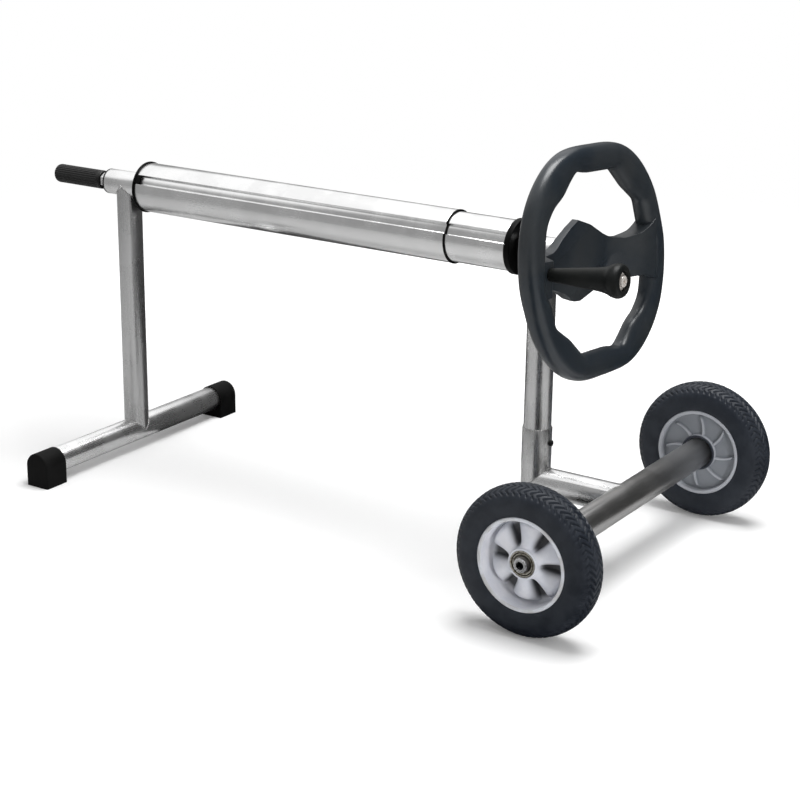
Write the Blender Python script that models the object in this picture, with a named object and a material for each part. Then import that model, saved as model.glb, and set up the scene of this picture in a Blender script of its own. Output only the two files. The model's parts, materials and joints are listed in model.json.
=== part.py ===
"""Pool cover reel: a telescopic roller on a T stand and a wheeled stand.

Metres, +Z up, +X along the roller towards the wheels, floor at Z = 0.
The origin is on the floor under the middle of the whole reel.
"""
from math import atan2, cos, hypot, pi, radians, sin, sqrt, tan

import bmesh
import bpy
from mathutils import Matrix, Quaternion, Vector

# Clearances
GAP = 0.0003                 # between pieces that touch
RUNNING = 0.0003             # between pieces that turn on each other

# Layout of the whole reel, as it stands in the photograph
POST_SPAN = 0.728            # from post to post
AXIS_HEIGHT = 0.426          # roller axis above the floor
AXLE_REACH = 0.1355          # from the wheeled post to the axle
WHEEL_TRACK = 0.509          # between the middle planes of the wheels
FOOT_SPAN = 0.456            # over the end caps of the T foot

# Stand tubes
TUBE_OD = 0.0381
TUBE_WALL = 0.0015
SOCKET_OD = 0.0413           # lower frame of the wheeled stand
SOCKET_WALL = 0.0013
SOCKET_TOP = 0.178           # height of the seam in the wheeled post
POST_PLUG = 0.050            # how far the post goes into its socket
SLEEVE_OUTER_END = 0.0345    # left bearing sleeve, outwards from the post axis
SLEEVE_INNER_END = 0.027     # left bearing sleeve, inwards from the post axis
RIGHT_SLEEVE_HALF = 0.026    # right bearing sleeve, each way from the post axis

# Foot caps
CAP_WIDTH = 0.042
CAP_LENGTH = 0.042
CAP_BASE = 0.012             # rubber under the foot tube
CAP_END_WALL = 0.005
CAP_EDGE = 0.003

# Bushes and shafts
SHAFT_D = 0.0250
BUSH_LENGTH = 0.016
BUSH_FLANGE = 0.0025

# Roller
OUTER_TUBE_OD = 0.0740
OUTER_TUBE_WALL = 0.0016
INNER_TUBE_OD = 0.0700
INNER_TUBE_WALL = 0.0016
INNER_SHOWING = 0.0925       # bare inner tube between the seam ring and the end cap
TUBE_OVERLAP = 0.420         # inner tube hidden in the outer one
GROOVE_WIDTH = 0.0148
GROOVE_DEPTH = 0.0035
GROOVE_ANGLE = radians(151.5)  # round +X from +Y: above the middle, on the near side
SEAM_RING_OD = 0.0752
SEAM_RING_WIDTH = 0.0022
SLIDE_BUSH_WIDTH = 0.012
LEFT_FLANGE_OD = 0.0774
LEFT_FLANGE_WIDTH = 0.003
RIGHT_FLANGE_OD = 0.0764
RIGHT_FLANGE_WIDTH = 0.009
CAP_BOSS_OD = 0.036
LEFT_BOSS_WIDTH = 0.009      # spacer boss on the left cap, beside its bush
RIGHT_BOSS_WIDTH = 0.003
PLUG_DEPTH = 0.024           # end caps inside their tubes
PLUG_WALL = 0.0045
GROOVE_TAB = 0.007           # tab of the left cap that fills the groove's end

# Grip on the end of the left shaft
GRIP_OD = 0.0265
GRIP_LENGTH = 0.097
GRIP_RIB_DEPTH = 0.0009
GRIP_FLARE_OD = 0.0290
GRIP_FLARE_WIDTH = 0.003
GRIP_END_WALL = 0.008
STUD_D = 0.012               # threaded end of the left shaft, inside nut and grip
LOCK_NUT_FLATS = 0.019       # bright nut between the bush and the grip
LOCK_NUT_H = 0.0095

# Wheels
WHEEL_OD = 0.200
TYRE_WIDTH = 0.046
RIM_OD = 0.125
RIM_WIDTH = 0.0435
RIM_LIP = 0.003
RIM_WALL = 0.0045
TYRE_SEAT_OD = 0.118
HUB_OD = 0.041
HUB_OUTER_FACE = 0.0165      # outboard of the wheel's middle plane
HUB_INNER_FACE = 0.021       # inboard of the wheel's middle plane
HUB_RECESS_OD = 0.0445
HUB_RECESS_DEPTH = 0.009
HUB_COLLAR_OD = 0.052
WEB_DEPTH = 0.028            # from the rim's outer face down to the web
WEB_THICKNESS = 0.005
LOBES = 6
LOBE_HEIGHT = 0.013
LOBE_PHASE = radians(26.25)
RIBS = 8
RIB_HEIGHT = 0.003
BEARING_OD = 0.035
BEARING_BORE = 0.015
BEARING_WIDTH = 0.011
RACE_OD = 0.0215

# Axle ends
AXLE_WALL = 0.0022
AXLE_PLUG_DEPTH = 0.026
AXLE_THREAD_D = 0.012
AXLE_THREAD_LENGTH = 0.022
AXLE_HEAD_D = 0.0185
AXLE_HEAD_H = 0.0042
AXLE_WASHER_OD = 0.0215
AXLE_WASHER_T = 0.0014
AXLE_HEX = 0.008
AXLE_HEX_DEPTH = 0.003

# Post screw
POST_SCREW_HEIGHT = 0.158
POST_SCREW_D = 0.006
POST_SCREW_HEAD_D = 0.011
POST_SCREW_HEAD_H = 0.003
POST_SCREW_LENGTH = 0.012

# Handwheel: an oval, dished wheel of two equal halves, turned half a turn
WHEEL_PLANE = 0.078          # rim's middle plane, outwards from the post axis
RIM_THICKNESS = 0.029        # along X
OVAL_CENTRE = (-0.001, -0.004)  # (y, z) from the shaft's axis
OVAL_MEAN = 0.1726           # outer edge of the rim, as a mean radius
OVAL_LONG = 0.0222
OVAL_LONG_ANGLE = radians(-31.4)
OVAL_CORNER = 0.0061
OVAL_CORNER_ANGLE = radians(-35.1)
# Inner edge of the rim's upper half, as (y, z) from the oval's centre, right arm to left arm
RIM_INNER_EDGE = [
    (0.150, 0.005), (0.1236, 0.025), (0.108, 0.0625), (0.070, 0.090),
    (0.031, 0.1185), (-0.071, 0.131), (-0.106, 0.105), (-0.132, 0.093),
    (-0.148, 0.074), (-0.150, 0.030),
]
# Upper and lower edge of the arms and hub, as (y, top z, bottom z) from the axis
HUB_EDGES = [
    (-0.160, 0.0360, -0.0300), (-0.118, 0.0370, -0.0260), (-0.084, 0.0360, -0.0275),
    (-0.050, 0.0385, -0.0405), (-0.030, 0.0460, -0.0525), (-0.010, 0.0505, -0.0600),
    (0.012, 0.0420, -0.0645), (0.032, 0.0320, -0.0625), (0.050, 0.0230, -0.0600),
    (0.072, 0.0135, -0.0550), (0.092, 0.0110, -0.0450), (0.118, 0.0155, -0.0440),
    (0.130, 0.0190, -0.0460), (0.160, 0.0300, -0.0460),
]
HUB_PLANE = 0.054            # middle of the hub plate, outwards from the post axis
ARM_PLANE = 0.074            # middle of the arms where they meet the rim
HUB_HALF_WIDTH = 0.050       # where the hub plate starts to rise towards the rim
ARM_ROOT = 0.118             # where it has reached the rim's depth
PLATE_THICKNESS = 0.016
PLATE_EDGE = 0.004
BOSS_OD = 0.046
BORE_DEPTH = 0.010           # how far the shaft goes into the hub plate
PIN_D = 0.006

# Crank knob on the left arm
KNOB_AT = (-0.130, 0.0055)   # (y, z) from the axis
KNOB_LEAN = radians(4)       # its bolt leans up a little, outwards
KNOB_LENGTH = 0.104
KNOB_ROOT_D = 0.0170
KNOB_WAIST_D = 0.0300
KNOB_WAIST_AT = 0.070
KNOB_END_D = 0.0440
KNOB_BOLT_D = 0.008
KNOB_HEAD_D = 0.0145
KNOB_HEAD_H = 0.005
KNOB_HEX = 0.006
KNOB_HEX_DEPTH = 0.003
KNOB_RECESS_D = 0.026
KNOB_RECESS_DEPTH = 0.007
KNOB_WASHER_OD = 0.0235
KNOB_WASHER_T = 0.0016
KNOB_NUT_FLATS = 0.013
KNOB_NUT_H = 0.0065

# Looks, as colour, roughness and metallic; every piece gets a material of its own
STEEL = ((0.66, 0.66, 0.67), 0.22, 1.0)
ROLLER = ((0.74, 0.74, 0.75), 0.28, 1.0)
AXLE_STEEL = ((0.28, 0.28, 0.29), 0.30, 1.0)
CAP = ((0.012, 0.012, 0.013), 0.45, 0.0)
FOOT_RUBBER = ((0.015, 0.015, 0.016), 0.60, 0.0)
GRIP_RUBBER = ((0.020, 0.020, 0.021), 0.55, 0.0)
NYLON = ((0.030, 0.030, 0.032), 0.50, 0.0)
HANDWHEEL = ((0.030, 0.034, 0.038), 0.38, 0.0)
KNOB = ((0.022, 0.023, 0.025), 0.42, 0.0)
TYRE = ((0.024, 0.027, 0.034), 0.62, 0.0)
RIM = ((0.56, 0.56, 0.60), 0.42, 0.0)
BEARING = ((0.46, 0.44, 0.38), 0.28, 1.0)
FASTENER = ((0.78, 0.78, 0.76), 0.18, 1.0)
BLACK_SCREW = ((0.020, 0.020, 0.020), 0.40, 1.0)

# Facets
ROUND = 28
WHEEL_STEPS = 48
SMALL = 20
RIM_STEPS = 60
RIM_SECTION = 10
NUT_STEPS = 12

# Worked-out places
AXLE_HEIGHT = WHEEL_OD / 2
TUBE_R = TUBE_OD / 2
SOCKET_R = SOCKET_OD / 2
TUBE_BORE_R = TUBE_R - TUBE_WALL
SHAFT_R = SHAFT_D / 2
BUSH_R = TUBE_BORE_R - GAP
FOOT_TUBE_HEIGHT = CAP_BASE + TUBE_R
LEFT_FLANGE_AT = SLEEVE_INNER_END + BUSH_FLANGE + GAP + RUNNING + LEFT_BOSS_WIDTH
OUTER_TUBE_START = LEFT_FLANGE_AT + LEFT_FLANGE_WIDTH + GAP
RIGHT_FLANGE_AT = -(RIGHT_SLEEVE_HALF + BUSH_FLANGE + GAP + RUNNING + RIGHT_BOSS_WIDTH)
INNER_TUBE_END = RIGHT_FLANGE_AT - RIGHT_FLANGE_WIDTH - GAP
SEAM_AT = INNER_TUBE_END - INNER_SHOWING
OUTER_TUBE_LENGTH = POST_SPAN - OUTER_TUBE_START + SEAM_AT - SEAM_RING_WIDTH - GAP
LOCK_NUT_FACE = -(SLEEVE_OUTER_END + BUSH_FLANGE + GAP + RUNNING)
GRIP_START = LOCK_NUT_FACE - LOCK_NUT_H - GAP
ARM_FACE = ARM_PLANE + PLATE_THICKNESS / 2
KNOB_BASE = GAP + KNOB_ROOT_D / 2 * tan(KNOB_LEAN)
RIGHT_REACH = max(AXLE_REACH + WHEEL_OD / 2, ARM_FACE + KNOB_BASE + KNOB_LENGTH)
LEFT_REACH = POST_SPAN - GRIP_START + GRIP_LENGTH
POST_X = (LEFT_REACH - RIGHT_REACH) / 2

AXES = {"X": Vector((1, 0, 0)), "Y": Vector((0, 1, 0)), "Z": Vector((0, 0, 1))}
SIDES = {"X": Vector((0, 1, 0)), "Y": Vector((1, 0, 0)), "Z": Vector((1, 0, 0))}


def clear_scene():
    for item in list(bpy.data.objects):
        bpy.data.objects.remove(item, do_unlink=True)


def make_material(name, look):
    colour, roughness, metallic = look
    material = bpy.data.materials.new(name)
    material.use_nodes = True
    shader = material.node_tree.nodes["Principled BSDF"]
    shader.inputs["Base Color"].default_value = (*colour, 1.0)
    shader.inputs["Roughness"].default_value = roughness
    shader.inputs["Metallic"].default_value = metallic
    return material


def make_empty(name, location, parent=None):
    """A joint axis or a stand, which carries the pieces of one moving body."""
    empty = bpy.data.objects.new(name, None)
    bpy.context.scene.collection.objects.link(empty)
    empty.parent = parent
    empty.location = location
    return empty


def add_piece(name, bm, look, parent, location=(0, 0, 0), turn=(0, 0, 0)):
    """Link a finished mesh as one named object under the empty that carries it."""
    bmesh.ops.recalc_face_normals(bm, faces=bm.faces)
    mesh = bpy.data.meshes.new(name)
    bm.to_mesh(mesh)
    bm.free()
    mesh.shade_smooth()
    mesh.set_sharp_from_angle(angle=radians(35))
    piece = bpy.data.objects.new(name, mesh)
    bpy.context.scene.collection.objects.link(piece)
    piece.parent = parent
    piece.location = location
    piece.rotation_euler = turn
    if look:
        mesh.materials.append(make_material(f"{name}_surface", look))
    return piece


def boolean(piece, tool, operation):
    """Cut a hidden tool from a piece, or join it on, with an exact Boolean."""
    tool.parent = piece.parent
    tool.hide_render = True
    tool.display_type = "WIRE"
    modifier = piece.modifiers.new(tool.name, "BOOLEAN")
    modifier.operation = operation
    modifier.solver = "EXACT"
    modifier.object = tool


def cut(piece, bm, location=(0, 0, 0), turn=(0, 0, 0)):
    number = len(piece.modifiers)
    tool = add_piece(f"{piece.name}_cutter_{number}", bm, None, None, location, turn)
    boolean(piece, tool, "DIFFERENCE")


def join(piece, bm, location=(0, 0, 0), turn=(0, 0, 0)):
    number = len(piece.modifiers)
    tool = add_piece(f"{piece.name}_tool_{number}", bm, None, None, location, turn)
    boolean(piece, tool, "UNION")


def turned(axis, profile, steps=ROUND, start=0.0, closed=True):
    """Turn a profile of (along, radius) points round one axis.

    A closed profile makes a ring. An open one starts and ends on the axis.
    """
    bm = bmesh.new()
    along = AXES[axis]
    out = Quaternion(along, start) @ SIDES[axis]
    verts = [bm.verts.new(along * a + out * r) for a, r in profile]
    first = 0 if closed else 1
    edges = [bm.edges.new((verts[i - 1], verts[i])) for i in range(first, len(verts))]
    bmesh.ops.spin(
        bm, geom=verts + edges, cent=(0, 0, 0), axis=along, dvec=(0, 0, 0),
        angle=2 * pi, steps=steps, use_merge=True,
    )
    if not closed:
        bmesh.ops.remove_doubles(bm, verts=bm.verts, dist=1e-6)
    return bm


def tube(axis, start, end, outer, inner, steps=ROUND):
    profile = [(start, inner), (start, outer), (end, outer), (end, inner)]
    return turned(axis, profile, steps)


def rod(axis, start, end, radius, steps=ROUND, phase=0.0):
    """A plain solid cylinder along one axis."""
    bm = bmesh.new()
    bmesh.ops.create_cone(
        bm, cap_ends=True, segments=steps, radius1=radius, radius2=radius, depth=end - start,
    )
    spun = Matrix.Rotation(phase, 4, "Z")
    laid = AXES["Z"].rotation_difference(AXES[axis]).to_matrix().to_4x4()
    placed = Matrix.Translation(AXES[axis] * (start + end) / 2)
    bmesh.ops.transform(bm, matrix=placed @ laid @ spun, verts=bm.verts)
    return bm


def stepped(axis, sizes, steps=SMALL):
    """A solid pin of several diameters, from (start, end, radius) stretches end to end."""
    profile = [(sizes[0][0], 0.0)]
    for start, end, radius in sizes:
        profile += [(start, radius), (end, radius)]
    profile.append((sizes[-1][1], 0.0))
    return turned(axis, profile, steps, closed=False)


def block(size, centre):
    bm = bmesh.new()
    bmesh.ops.create_cube(bm, size=1.0)
    bmesh.ops.scale(bm, vec=size, verts=bm.verts)
    bmesh.ops.translate(bm, vec=centre, verts=bm.verts)
    return bm


def extruded(outline, axis, start, end):
    """Extrude an outline of two coordinates along an axis: (y, z) on X, (x, z) on Y."""
    bm = bmesh.new()
    if axis == "X":
        points = [(start, a, b) for a, b in outline]
    else:
        points = [(a, start, b) for a, b in outline]
    face = bm.faces.new([bm.verts.new(point) for point in points])
    grown = bmesh.ops.extrude_face_region(bm, geom=[face])["geom"]
    moved = [item for item in grown if isinstance(item, bmesh.types.BMVert)]
    bmesh.ops.translate(bm, vec=AXES[axis] * (end - start), verts=moved)
    return bm


def groove_half(width, radius):
    return atan2(width / 2, radius)


def grooved_outline(radius, width, depth):
    """A circle with one flat-bottomed groove pressed into it, as (y, z) points."""
    half = groove_half(width, radius)
    floor = radius - depth
    sweep = 2 * pi - 2 * half
    count = ROUND - 2
    points = []
    for i in range(count + 1):
        angle = GROOVE_ANGLE + half + sweep * i / count
        points.append((radius * cos(angle), radius * sin(angle)))
    floor_half = groove_half(width - depth, floor)
    for side in (-1, 1):
        angle = GROOVE_ANGLE + side * floor_half
        points.append((floor * cos(angle), floor * sin(angle)))
    return points


def grooved_ring(start, end, outer, outer_width, inner, inner_width, depth=GROOVE_DEPTH):
    """A grooved tube: two like outlines bridged at both ends."""
    bm = bmesh.new()
    rings = []
    for x in (start, end):
        for radius, width in ((outer, outer_width), (inner, inner_width)):
            outline = grooved_outline(radius, width, depth)
            rings.append([bm.verts.new((x, y, z)) for y, z in outline])
    near_out, near_in, far_out, far_in = rings
    for one, two in ((near_out, far_out), (far_out, far_in), (far_in, near_in), (near_in, near_out)):
        for i in range(len(one)):
            bm.faces.new((one[i - 1], one[i], two[i], two[i - 1]))
    return bm


def build_wheeled_stand(parent):
    """The right stand: post in a mitred L frame, welded to the axle tube."""
    socket_bore = SOCKET_R - SOCKET_WALL
    post_start = SOCKET_TOP - POST_PLUG
    post = add_piece("right_post", tube("Z", post_start, AXIS_HEIGHT, TUBE_R, TUBE_BORE_R), STEEL, parent)
    sleeve_seat = rod("X", -TUBE_OD, TUBE_OD, TUBE_R + GAP)
    cut(post, sleeve_seat, (0, 0, AXIS_HEIGHT))

    sleeve = tube("X", -RIGHT_SLEEVE_HALF, RIGHT_SLEEVE_HALF, TUBE_R, TUBE_BORE_R)
    add_piece("right_sleeve", sleeve, STEEL, parent, (0, 0, AXIS_HEIGHT))
    for name, side in (("right_bush_inner", -1), ("right_bush_outer", 1)):
        add_piece(name, bush(RIGHT_SLEEVE_HALF, side), NYLON, parent, (0, 0, AXIS_HEIGHT))

    # The mitre runs from the inner corner of the L down to its outer corner
    corner = (0, 0, AXLE_HEIGHT)
    reach = 4 * SOCKET_OD
    upright = add_piece(
        "post_socket", tube("Z", AXLE_HEIGHT - SOCKET_OD, SOCKET_TOP, SOCKET_R, socket_bore), STEEL, parent,
    )
    cut(upright, block((reach, reach, reach), (0, 0, (GAP - reach) / 2)), corner, (0, -pi / 4, 0))
    base = add_piece(
        "base_tube", tube("X", -SOCKET_OD, AXLE_REACH, SOCKET_R, socket_bore), STEEL, parent, corner,
    )
    cut(base, block((reach, reach, reach), (0, 0, (reach + GAP) / 2)), corner, (0, -pi / 4, 0))
    cut(base, rod("Y", -SOCKET_OD, SOCKET_OD, SOCKET_R + GAP), (AXLE_REACH, 0, AXLE_HEIGHT))

    # One short black screw holds the post in its socket, from the wheel side
    wall_inside = TUBE_BORE_R - GAP
    hole = rod("X", wall_inside - SOCKET_R, SOCKET_OD, POST_SCREW_D / 2 + GAP, SMALL)
    for holed in (post, upright):
        cut(holed, hole.copy(), (0, 0, POST_SCREW_HEIGHT))
    hole.free()
    head = SOCKET_R + GAP
    screw = stepped("X", [
        (head - POST_SCREW_LENGTH, head, POST_SCREW_D / 2),
        (head, head + POST_SCREW_HEAD_H, POST_SCREW_HEAD_D / 2),
    ], SMALL)
    add_piece("post_screw", screw, BLACK_SCREW, parent, (0, 0, POST_SCREW_HEIGHT))


def bush(sleeve_half, side):
    """A flanged bush that goes into one end of a bearing sleeve."""
    bore = SHAFT_R + RUNNING
    seat = sleeve_half + GAP
    profile = [
        (sleeve_half - BUSH_LENGTH, bore), (sleeve_half - BUSH_LENGTH, BUSH_R),
        (seat, BUSH_R), (seat, TUBE_R), (seat + BUSH_FLANGE, TUBE_R), (seat + BUSH_FLANGE, bore),
    ]
    return turned("X", [(side * a, r) for a, r in profile], SMALL)


def build_axle(parent):
    """The axle tube with a threaded plug, a bolt and a washer at each end."""
    tube_end = WHEEL_TRACK / 2 - HUB_INNER_FACE + HUB_RECESS_DEPTH - 0.003
    bore = SOCKET_R - AXLE_WALL
    at = (AXLE_REACH, 0, AXLE_HEIGHT)
    add_piece("axle_tube", tube("Y", -tube_end, tube_end, SOCKET_R, bore), AXLE_STEEL, parent, at)
    bearing_in = WHEEL_TRACK / 2 - HUB_INNER_FACE + HUB_RECESS_DEPTH
    bearing_out = WHEEL_TRACK / 2 + HUB_OUTER_FACE - GAP
    shank = BEARING_BORE / 2 - GAP
    plug_end = bearing_in - GAP
    for name, side in (("front", -1), ("rear", 1)):
        plug = turned("Y", [(side * a, r) for a, r in (
            (tube_end - AXLE_PLUG_DEPTH, AXLE_THREAD_D / 2 + GAP), (tube_end - AXLE_PLUG_DEPTH, bore - GAP),
            (tube_end, bore - GAP), (tube_end, RACE_OD / 2), (plug_end, RACE_OD / 2),
            (plug_end, AXLE_THREAD_D / 2 + GAP),
        )], SMALL)
        add_piece(f"axle_plug_{name}", plug, FASTENER, parent, at)
        washer_in = bearing_out + GAP
        washer = tube(
            "Y", side * washer_in, side * (washer_in + AXLE_WASHER_T), AXLE_WASHER_OD / 2,
            BEARING_BORE / 2, SMALL,
        )
        add_piece(f"axle_washer_{name}", washer, FASTENER, parent, at)
        head = washer_in + AXLE_WASHER_T + GAP
        bolt = stepped("Y", [
            (side * (bearing_in - AXLE_THREAD_LENGTH), side * bearing_in, AXLE_THREAD_D / 2),
            (side * bearing_in, side * head, shank),
            (side * head, side * (head + AXLE_HEAD_H), AXLE_HEAD_D / 2),
        ])
        piece = add_piece(f"axle_bolt_{name}", bolt, FASTENER, parent, at)
        top = head + AXLE_HEAD_H
        ends = sorted((side * (top - AXLE_HEX_DEPTH), side * (top + AXLE_HEX_DEPTH)))
        cut(piece, rod("Y", *ends, AXLE_HEX / sqrt(3), 6), at)


def wheel_edge(radius):
    """Radius of the corners of a wheel polygon whose flats lie at this radius."""
    return radius / cos(pi / WHEEL_STEPS)


def lobe_rise(radius, angle):
    """Height of the fluted web over its valleys: a half cone from hub to rim."""
    start = HUB_OD / 2
    end = RIM_OD / 2 - RIM_LIP - RIM_WALL
    along = min(max((radius - start) / (end - start), 0.0), 1.0)
    turn = (angle - LOBE_PHASE) * LOBES / (2 * pi)
    across = 2 * abs(turn - round(turn))
    fullness = sqrt(max(1 - across ** 2, 0.0))
    swell = sin(pi * min(along * 0.62 + 0.30, 1.0)) if along < 1 else 0.0
    return LOBE_HEIGHT * swell * fullness


def rib_rise(angle):
    """Full height on the two corners beside each rib's line, and none elsewhere."""
    turn = angle * RIBS / (2 * pi)
    beside = abs(turn - round(turn)) * 2 * pi / RIBS
    return RIB_HEIGHT if beside < 0.6 * 2 * pi / WHEEL_STEPS else 0.0


def rim_mesh():
    """The moulded rim: barrel, web with outer lobes and inner ribs, and hub.

    The profile runs in (outboard, radius), and outboard is -Y.
    """
    face = RIM_WIDTH / 2
    barrel = RIM_OD / 2 - RIM_LIP - RIM_WALL + 0.003
    web = face - WEB_DEPTH
    hub = HUB_OD / 2
    seat = BEARING_OD / 2 + GAP
    stop = RACE_OD / 2 + 0.003
    inner_seat = HUB_INNER_FACE - HUB_RECESS_DEPTH
    outer_in = HUB_OUTER_FACE - BEARING_WIDTH
    inner_out = -inner_seat + BEARING_WIDTH
    radii = [hub + (barrel - hub) * share for share in (0.0, 0.28, 0.62, 0.88)]
    fall = [(HUB_OUTER_FACE - 0.006) * (1 - share) + web * share for share in (0.0, 0.36, 0.76, 1.0)]
    outer_web = list(zip(fall, radii))
    back = web - WEB_THICKNESS
    collar = HUB_COLLAR_OD / 2
    inner_web = [(back, barrel - 0.002), (back - 0.001, (barrel + collar) / 2), (back - 0.002, collar)]
    profile = [(outer_in, seat), (HUB_OUTER_FACE, seat), (HUB_OUTER_FACE, hub)]
    profile += outer_web
    profile += [
        (web, barrel), (face, barrel + 0.001), (face, RIM_OD / 2), (face - RIM_LIP, RIM_OD / 2),
        (face - RIM_LIP - 0.001, TYRE_SEAT_OD / 2), (RIM_LIP + 0.001 - face, TYRE_SEAT_OD / 2),
        (RIM_LIP - face, RIM_OD / 2), (-face, RIM_OD / 2), (-face, barrel + 0.001),
    ]
    profile += inner_web
    profile += [
        (-HUB_INNER_FACE, collar), (-HUB_INNER_FACE, HUB_RECESS_OD / 2), (-inner_seat, HUB_RECESS_OD / 2),
        (-inner_seat, seat), (inner_out, seat), (inner_out, stop), (outer_in, stop),
    ]
    bm = turned("Y", [(-w, wheel_edge(r)) for w, r in profile], WHEEL_STEPS, pi / WHEEL_STEPS)
    for vert in bm.verts:
        radius = hypot(vert.co.x, vert.co.z) * cos(pi / WHEEL_STEPS)
        angle = atan2(vert.co.z, vert.co.x)
        outboard = -vert.co.y
        for w, r in outer_web[1:]:
            if abs(radius - r) < 1e-5 and abs(outboard - w) < 1e-5:
                vert.co.y -= lobe_rise(r, angle)
        for w, r in inner_web[1:]:
            if abs(radius - r) < 1e-5 and abs(outboard - w) < 1e-5:
                vert.co.y += rib_rise(angle)
    return bm


def tyre_mesh():
    """A solid rubber tyre, with its seat over the rim's lips."""
    half = TYRE_WIDTH / 2
    seat_half = RIM_WIDTH / 2 - RIM_LIP - GAP
    seat = TYRE_SEAT_OD / 2 + GAP
    bead = RIM_OD / 2 + GAP
    tread = WHEEL_OD / 2
    side = [
        (seat_half - 0.001, seat), (seat_half, bead), (half - 0.0015, bead), (half, tread - 0.020),
        (half - 0.004, tread - 0.006), (half - 0.016, tread),
    ]
    profile = side + [(-w, r) for w, r in reversed(side)]
    return turned("Y", [(w, wheel_edge(r)) for w, r in profile], WHEEL_STEPS, pi / WHEEL_STEPS)


def build_wheel(name, side, stand):
    """One wheel on two sealed bearings; its outer face looks along side * Y."""
    centre = (AXLE_REACH, side * WHEEL_TRACK / 2, AXLE_HEIGHT)
    turn = (0, 0, 0) if side < 0 else (0, 0, pi)
    axis = make_empty(f"{name}_wheel_axis", centre, stand)
    add_piece(f"{name}_tyre", tyre_mesh(), TYRE, axis)
    add_piece(f"{name}_rim", rim_mesh(), RIM, axis, turn=turn)

    outer_at = HUB_OUTER_FACE - GAP
    inner_at = -(HUB_INNER_FACE - HUB_RECESS_DEPTH)
    ring_width = BEARING_WIDTH - GAP
    places = {"outer": (outer_at - ring_width, outer_at), "inner": (inner_at, inner_at + ring_width)}
    for place, (low, high) in places.items():
        shell = tube("Y", -low, -high, BEARING_OD / 2, RACE_OD / 2 + RUNNING, SMALL)
        add_piece(f"{name}_bearing_{place}", shell, BEARING, axis, turn=turn)
        race = tube("Y", -low, -high, RACE_OD / 2, BEARING_BORE / 2, SMALL)
        add_piece(f"{name}_race_{place}", race, FASTENER, stand, centre, turn)
    spacer_low = places["inner"][1] + GAP
    spacer_high = places["outer"][0] - GAP
    spacer = tube("Y", -spacer_low, -spacer_high, RACE_OD / 2, BEARING_BORE / 2, SMALL)
    add_piece(f"{name}_bearing_spacer", spacer, FASTENER, stand, centre, turn)


def cap_outline():
    """Flat bottom, straight sides and a round top: (x, z) from the foot tube's axis."""
    half = CAP_WIDTH / 2
    floor = -FOOT_TUBE_HEIGHT
    steps = ROUND // 2
    arch = [(half * cos(pi * i / steps), half * sin(pi * i / steps)) for i in range(steps + 1)]
    return arch + [(-half, floor), (half, floor)]


def build_left_stand(parent):
    """The T stand: foot tube with two rubber caps, post and bearing sleeve."""
    upright = tube("Z", FOOT_TUBE_HEIGHT, AXIS_HEIGHT, TUBE_R, TUBE_BORE_R)
    post = add_piece("left_post", upright, STEEL, parent)
    cut(post, rod("X", -TUBE_OD, TUBE_OD, TUBE_R + GAP), (0, 0, AXIS_HEIGHT))
    cut(post, rod("Y", -TUBE_OD, TUBE_OD, TUBE_R + GAP), (0, 0, FOOT_TUBE_HEIGHT))

    tube_half = FOOT_SPAN / 2 - CAP_END_WALL - GAP
    foot = tube("Y", -tube_half, tube_half, TUBE_R, TUBE_BORE_R)
    add_piece("foot_tube", foot, STEEL, parent, (0, 0, FOOT_TUBE_HEIGHT))
    for name, side in (("front", -1), ("rear", 1)):
        outer = side * FOOT_SPAN / 2
        body = extruded(cap_outline(), "Y", outer - side * CAP_LENGTH, outer)
        face_verts = {
            vert for vert in body.verts
            if abs(vert.co.y - outer) < 1e-6 and vert.co.z > -FOOT_TUBE_HEIGHT + 1e-6
        }
        rim_edges = [edge for edge in body.edges if face_verts.issuperset(edge.verts)]
        bmesh.ops.bevel(
            body, geom=rim_edges, offset=CAP_EDGE, segments=2, affect="EDGES", profile=0.5, material=-1,
        )
        cap = add_piece(f"foot_cap_{name}", body, FOOT_RUBBER, parent, (0, 0, FOOT_TUBE_HEIGHT))
        ends = sorted((outer - side * CAP_END_WALL, outer - side * 2 * CAP_LENGTH))
        cut(cap, rod("Y", *ends, TUBE_R + GAP), (0, 0, FOOT_TUBE_HEIGHT))

    sleeve = tube("X", -SLEEVE_OUTER_END, SLEEVE_INNER_END, TUBE_R, TUBE_BORE_R)
    add_piece("left_sleeve", sleeve, STEEL, parent, (0, 0, AXIS_HEIGHT))
    add_piece("left_bush_inner", bush(SLEEVE_INNER_END, 1), NYLON, parent, (0, 0, AXIS_HEIGHT))
    add_piece("left_bush_outer", bush(SLEEVE_OUTER_END, -1), NYLON, parent, (0, 0, AXIS_HEIGHT))


def grip_mesh():
    """A ribbed rubber grip with a closed, rounded end and a flared mouth."""
    end = GRIP_START - GRIP_LENGTH
    bore = STUD_D / 2 + GAP
    radius = GRIP_OD / 2
    profile = [
        (end, 0.0), (end, radius - 0.005), (end + 0.002, radius - 0.0015), (end + 0.005, radius),
        (GRIP_START - 0.010, radius), (GRIP_START - GRIP_FLARE_WIDTH, GRIP_FLARE_OD / 2),
        (GRIP_START, GRIP_FLARE_OD / 2), (GRIP_START, bore), (end + GRIP_END_WALL, bore),
        (end + GRIP_END_WALL, 0.0),
    ]
    bm = turned("X", profile, ROUND, closed=False)
    for vert in bm.verts:
        step = round(atan2(vert.co.z, vert.co.y) / (2 * pi / ROUND))
        if step % 2 and hypot(vert.co.y, vert.co.z) > radius - 0.0005 and vert.co.x < GRIP_START - 0.005:
            shrunk = 1 - GRIP_RIB_DEPTH / radius
            vert.co.y *= shrunk
            vert.co.z *= shrunk
    return bm


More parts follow.
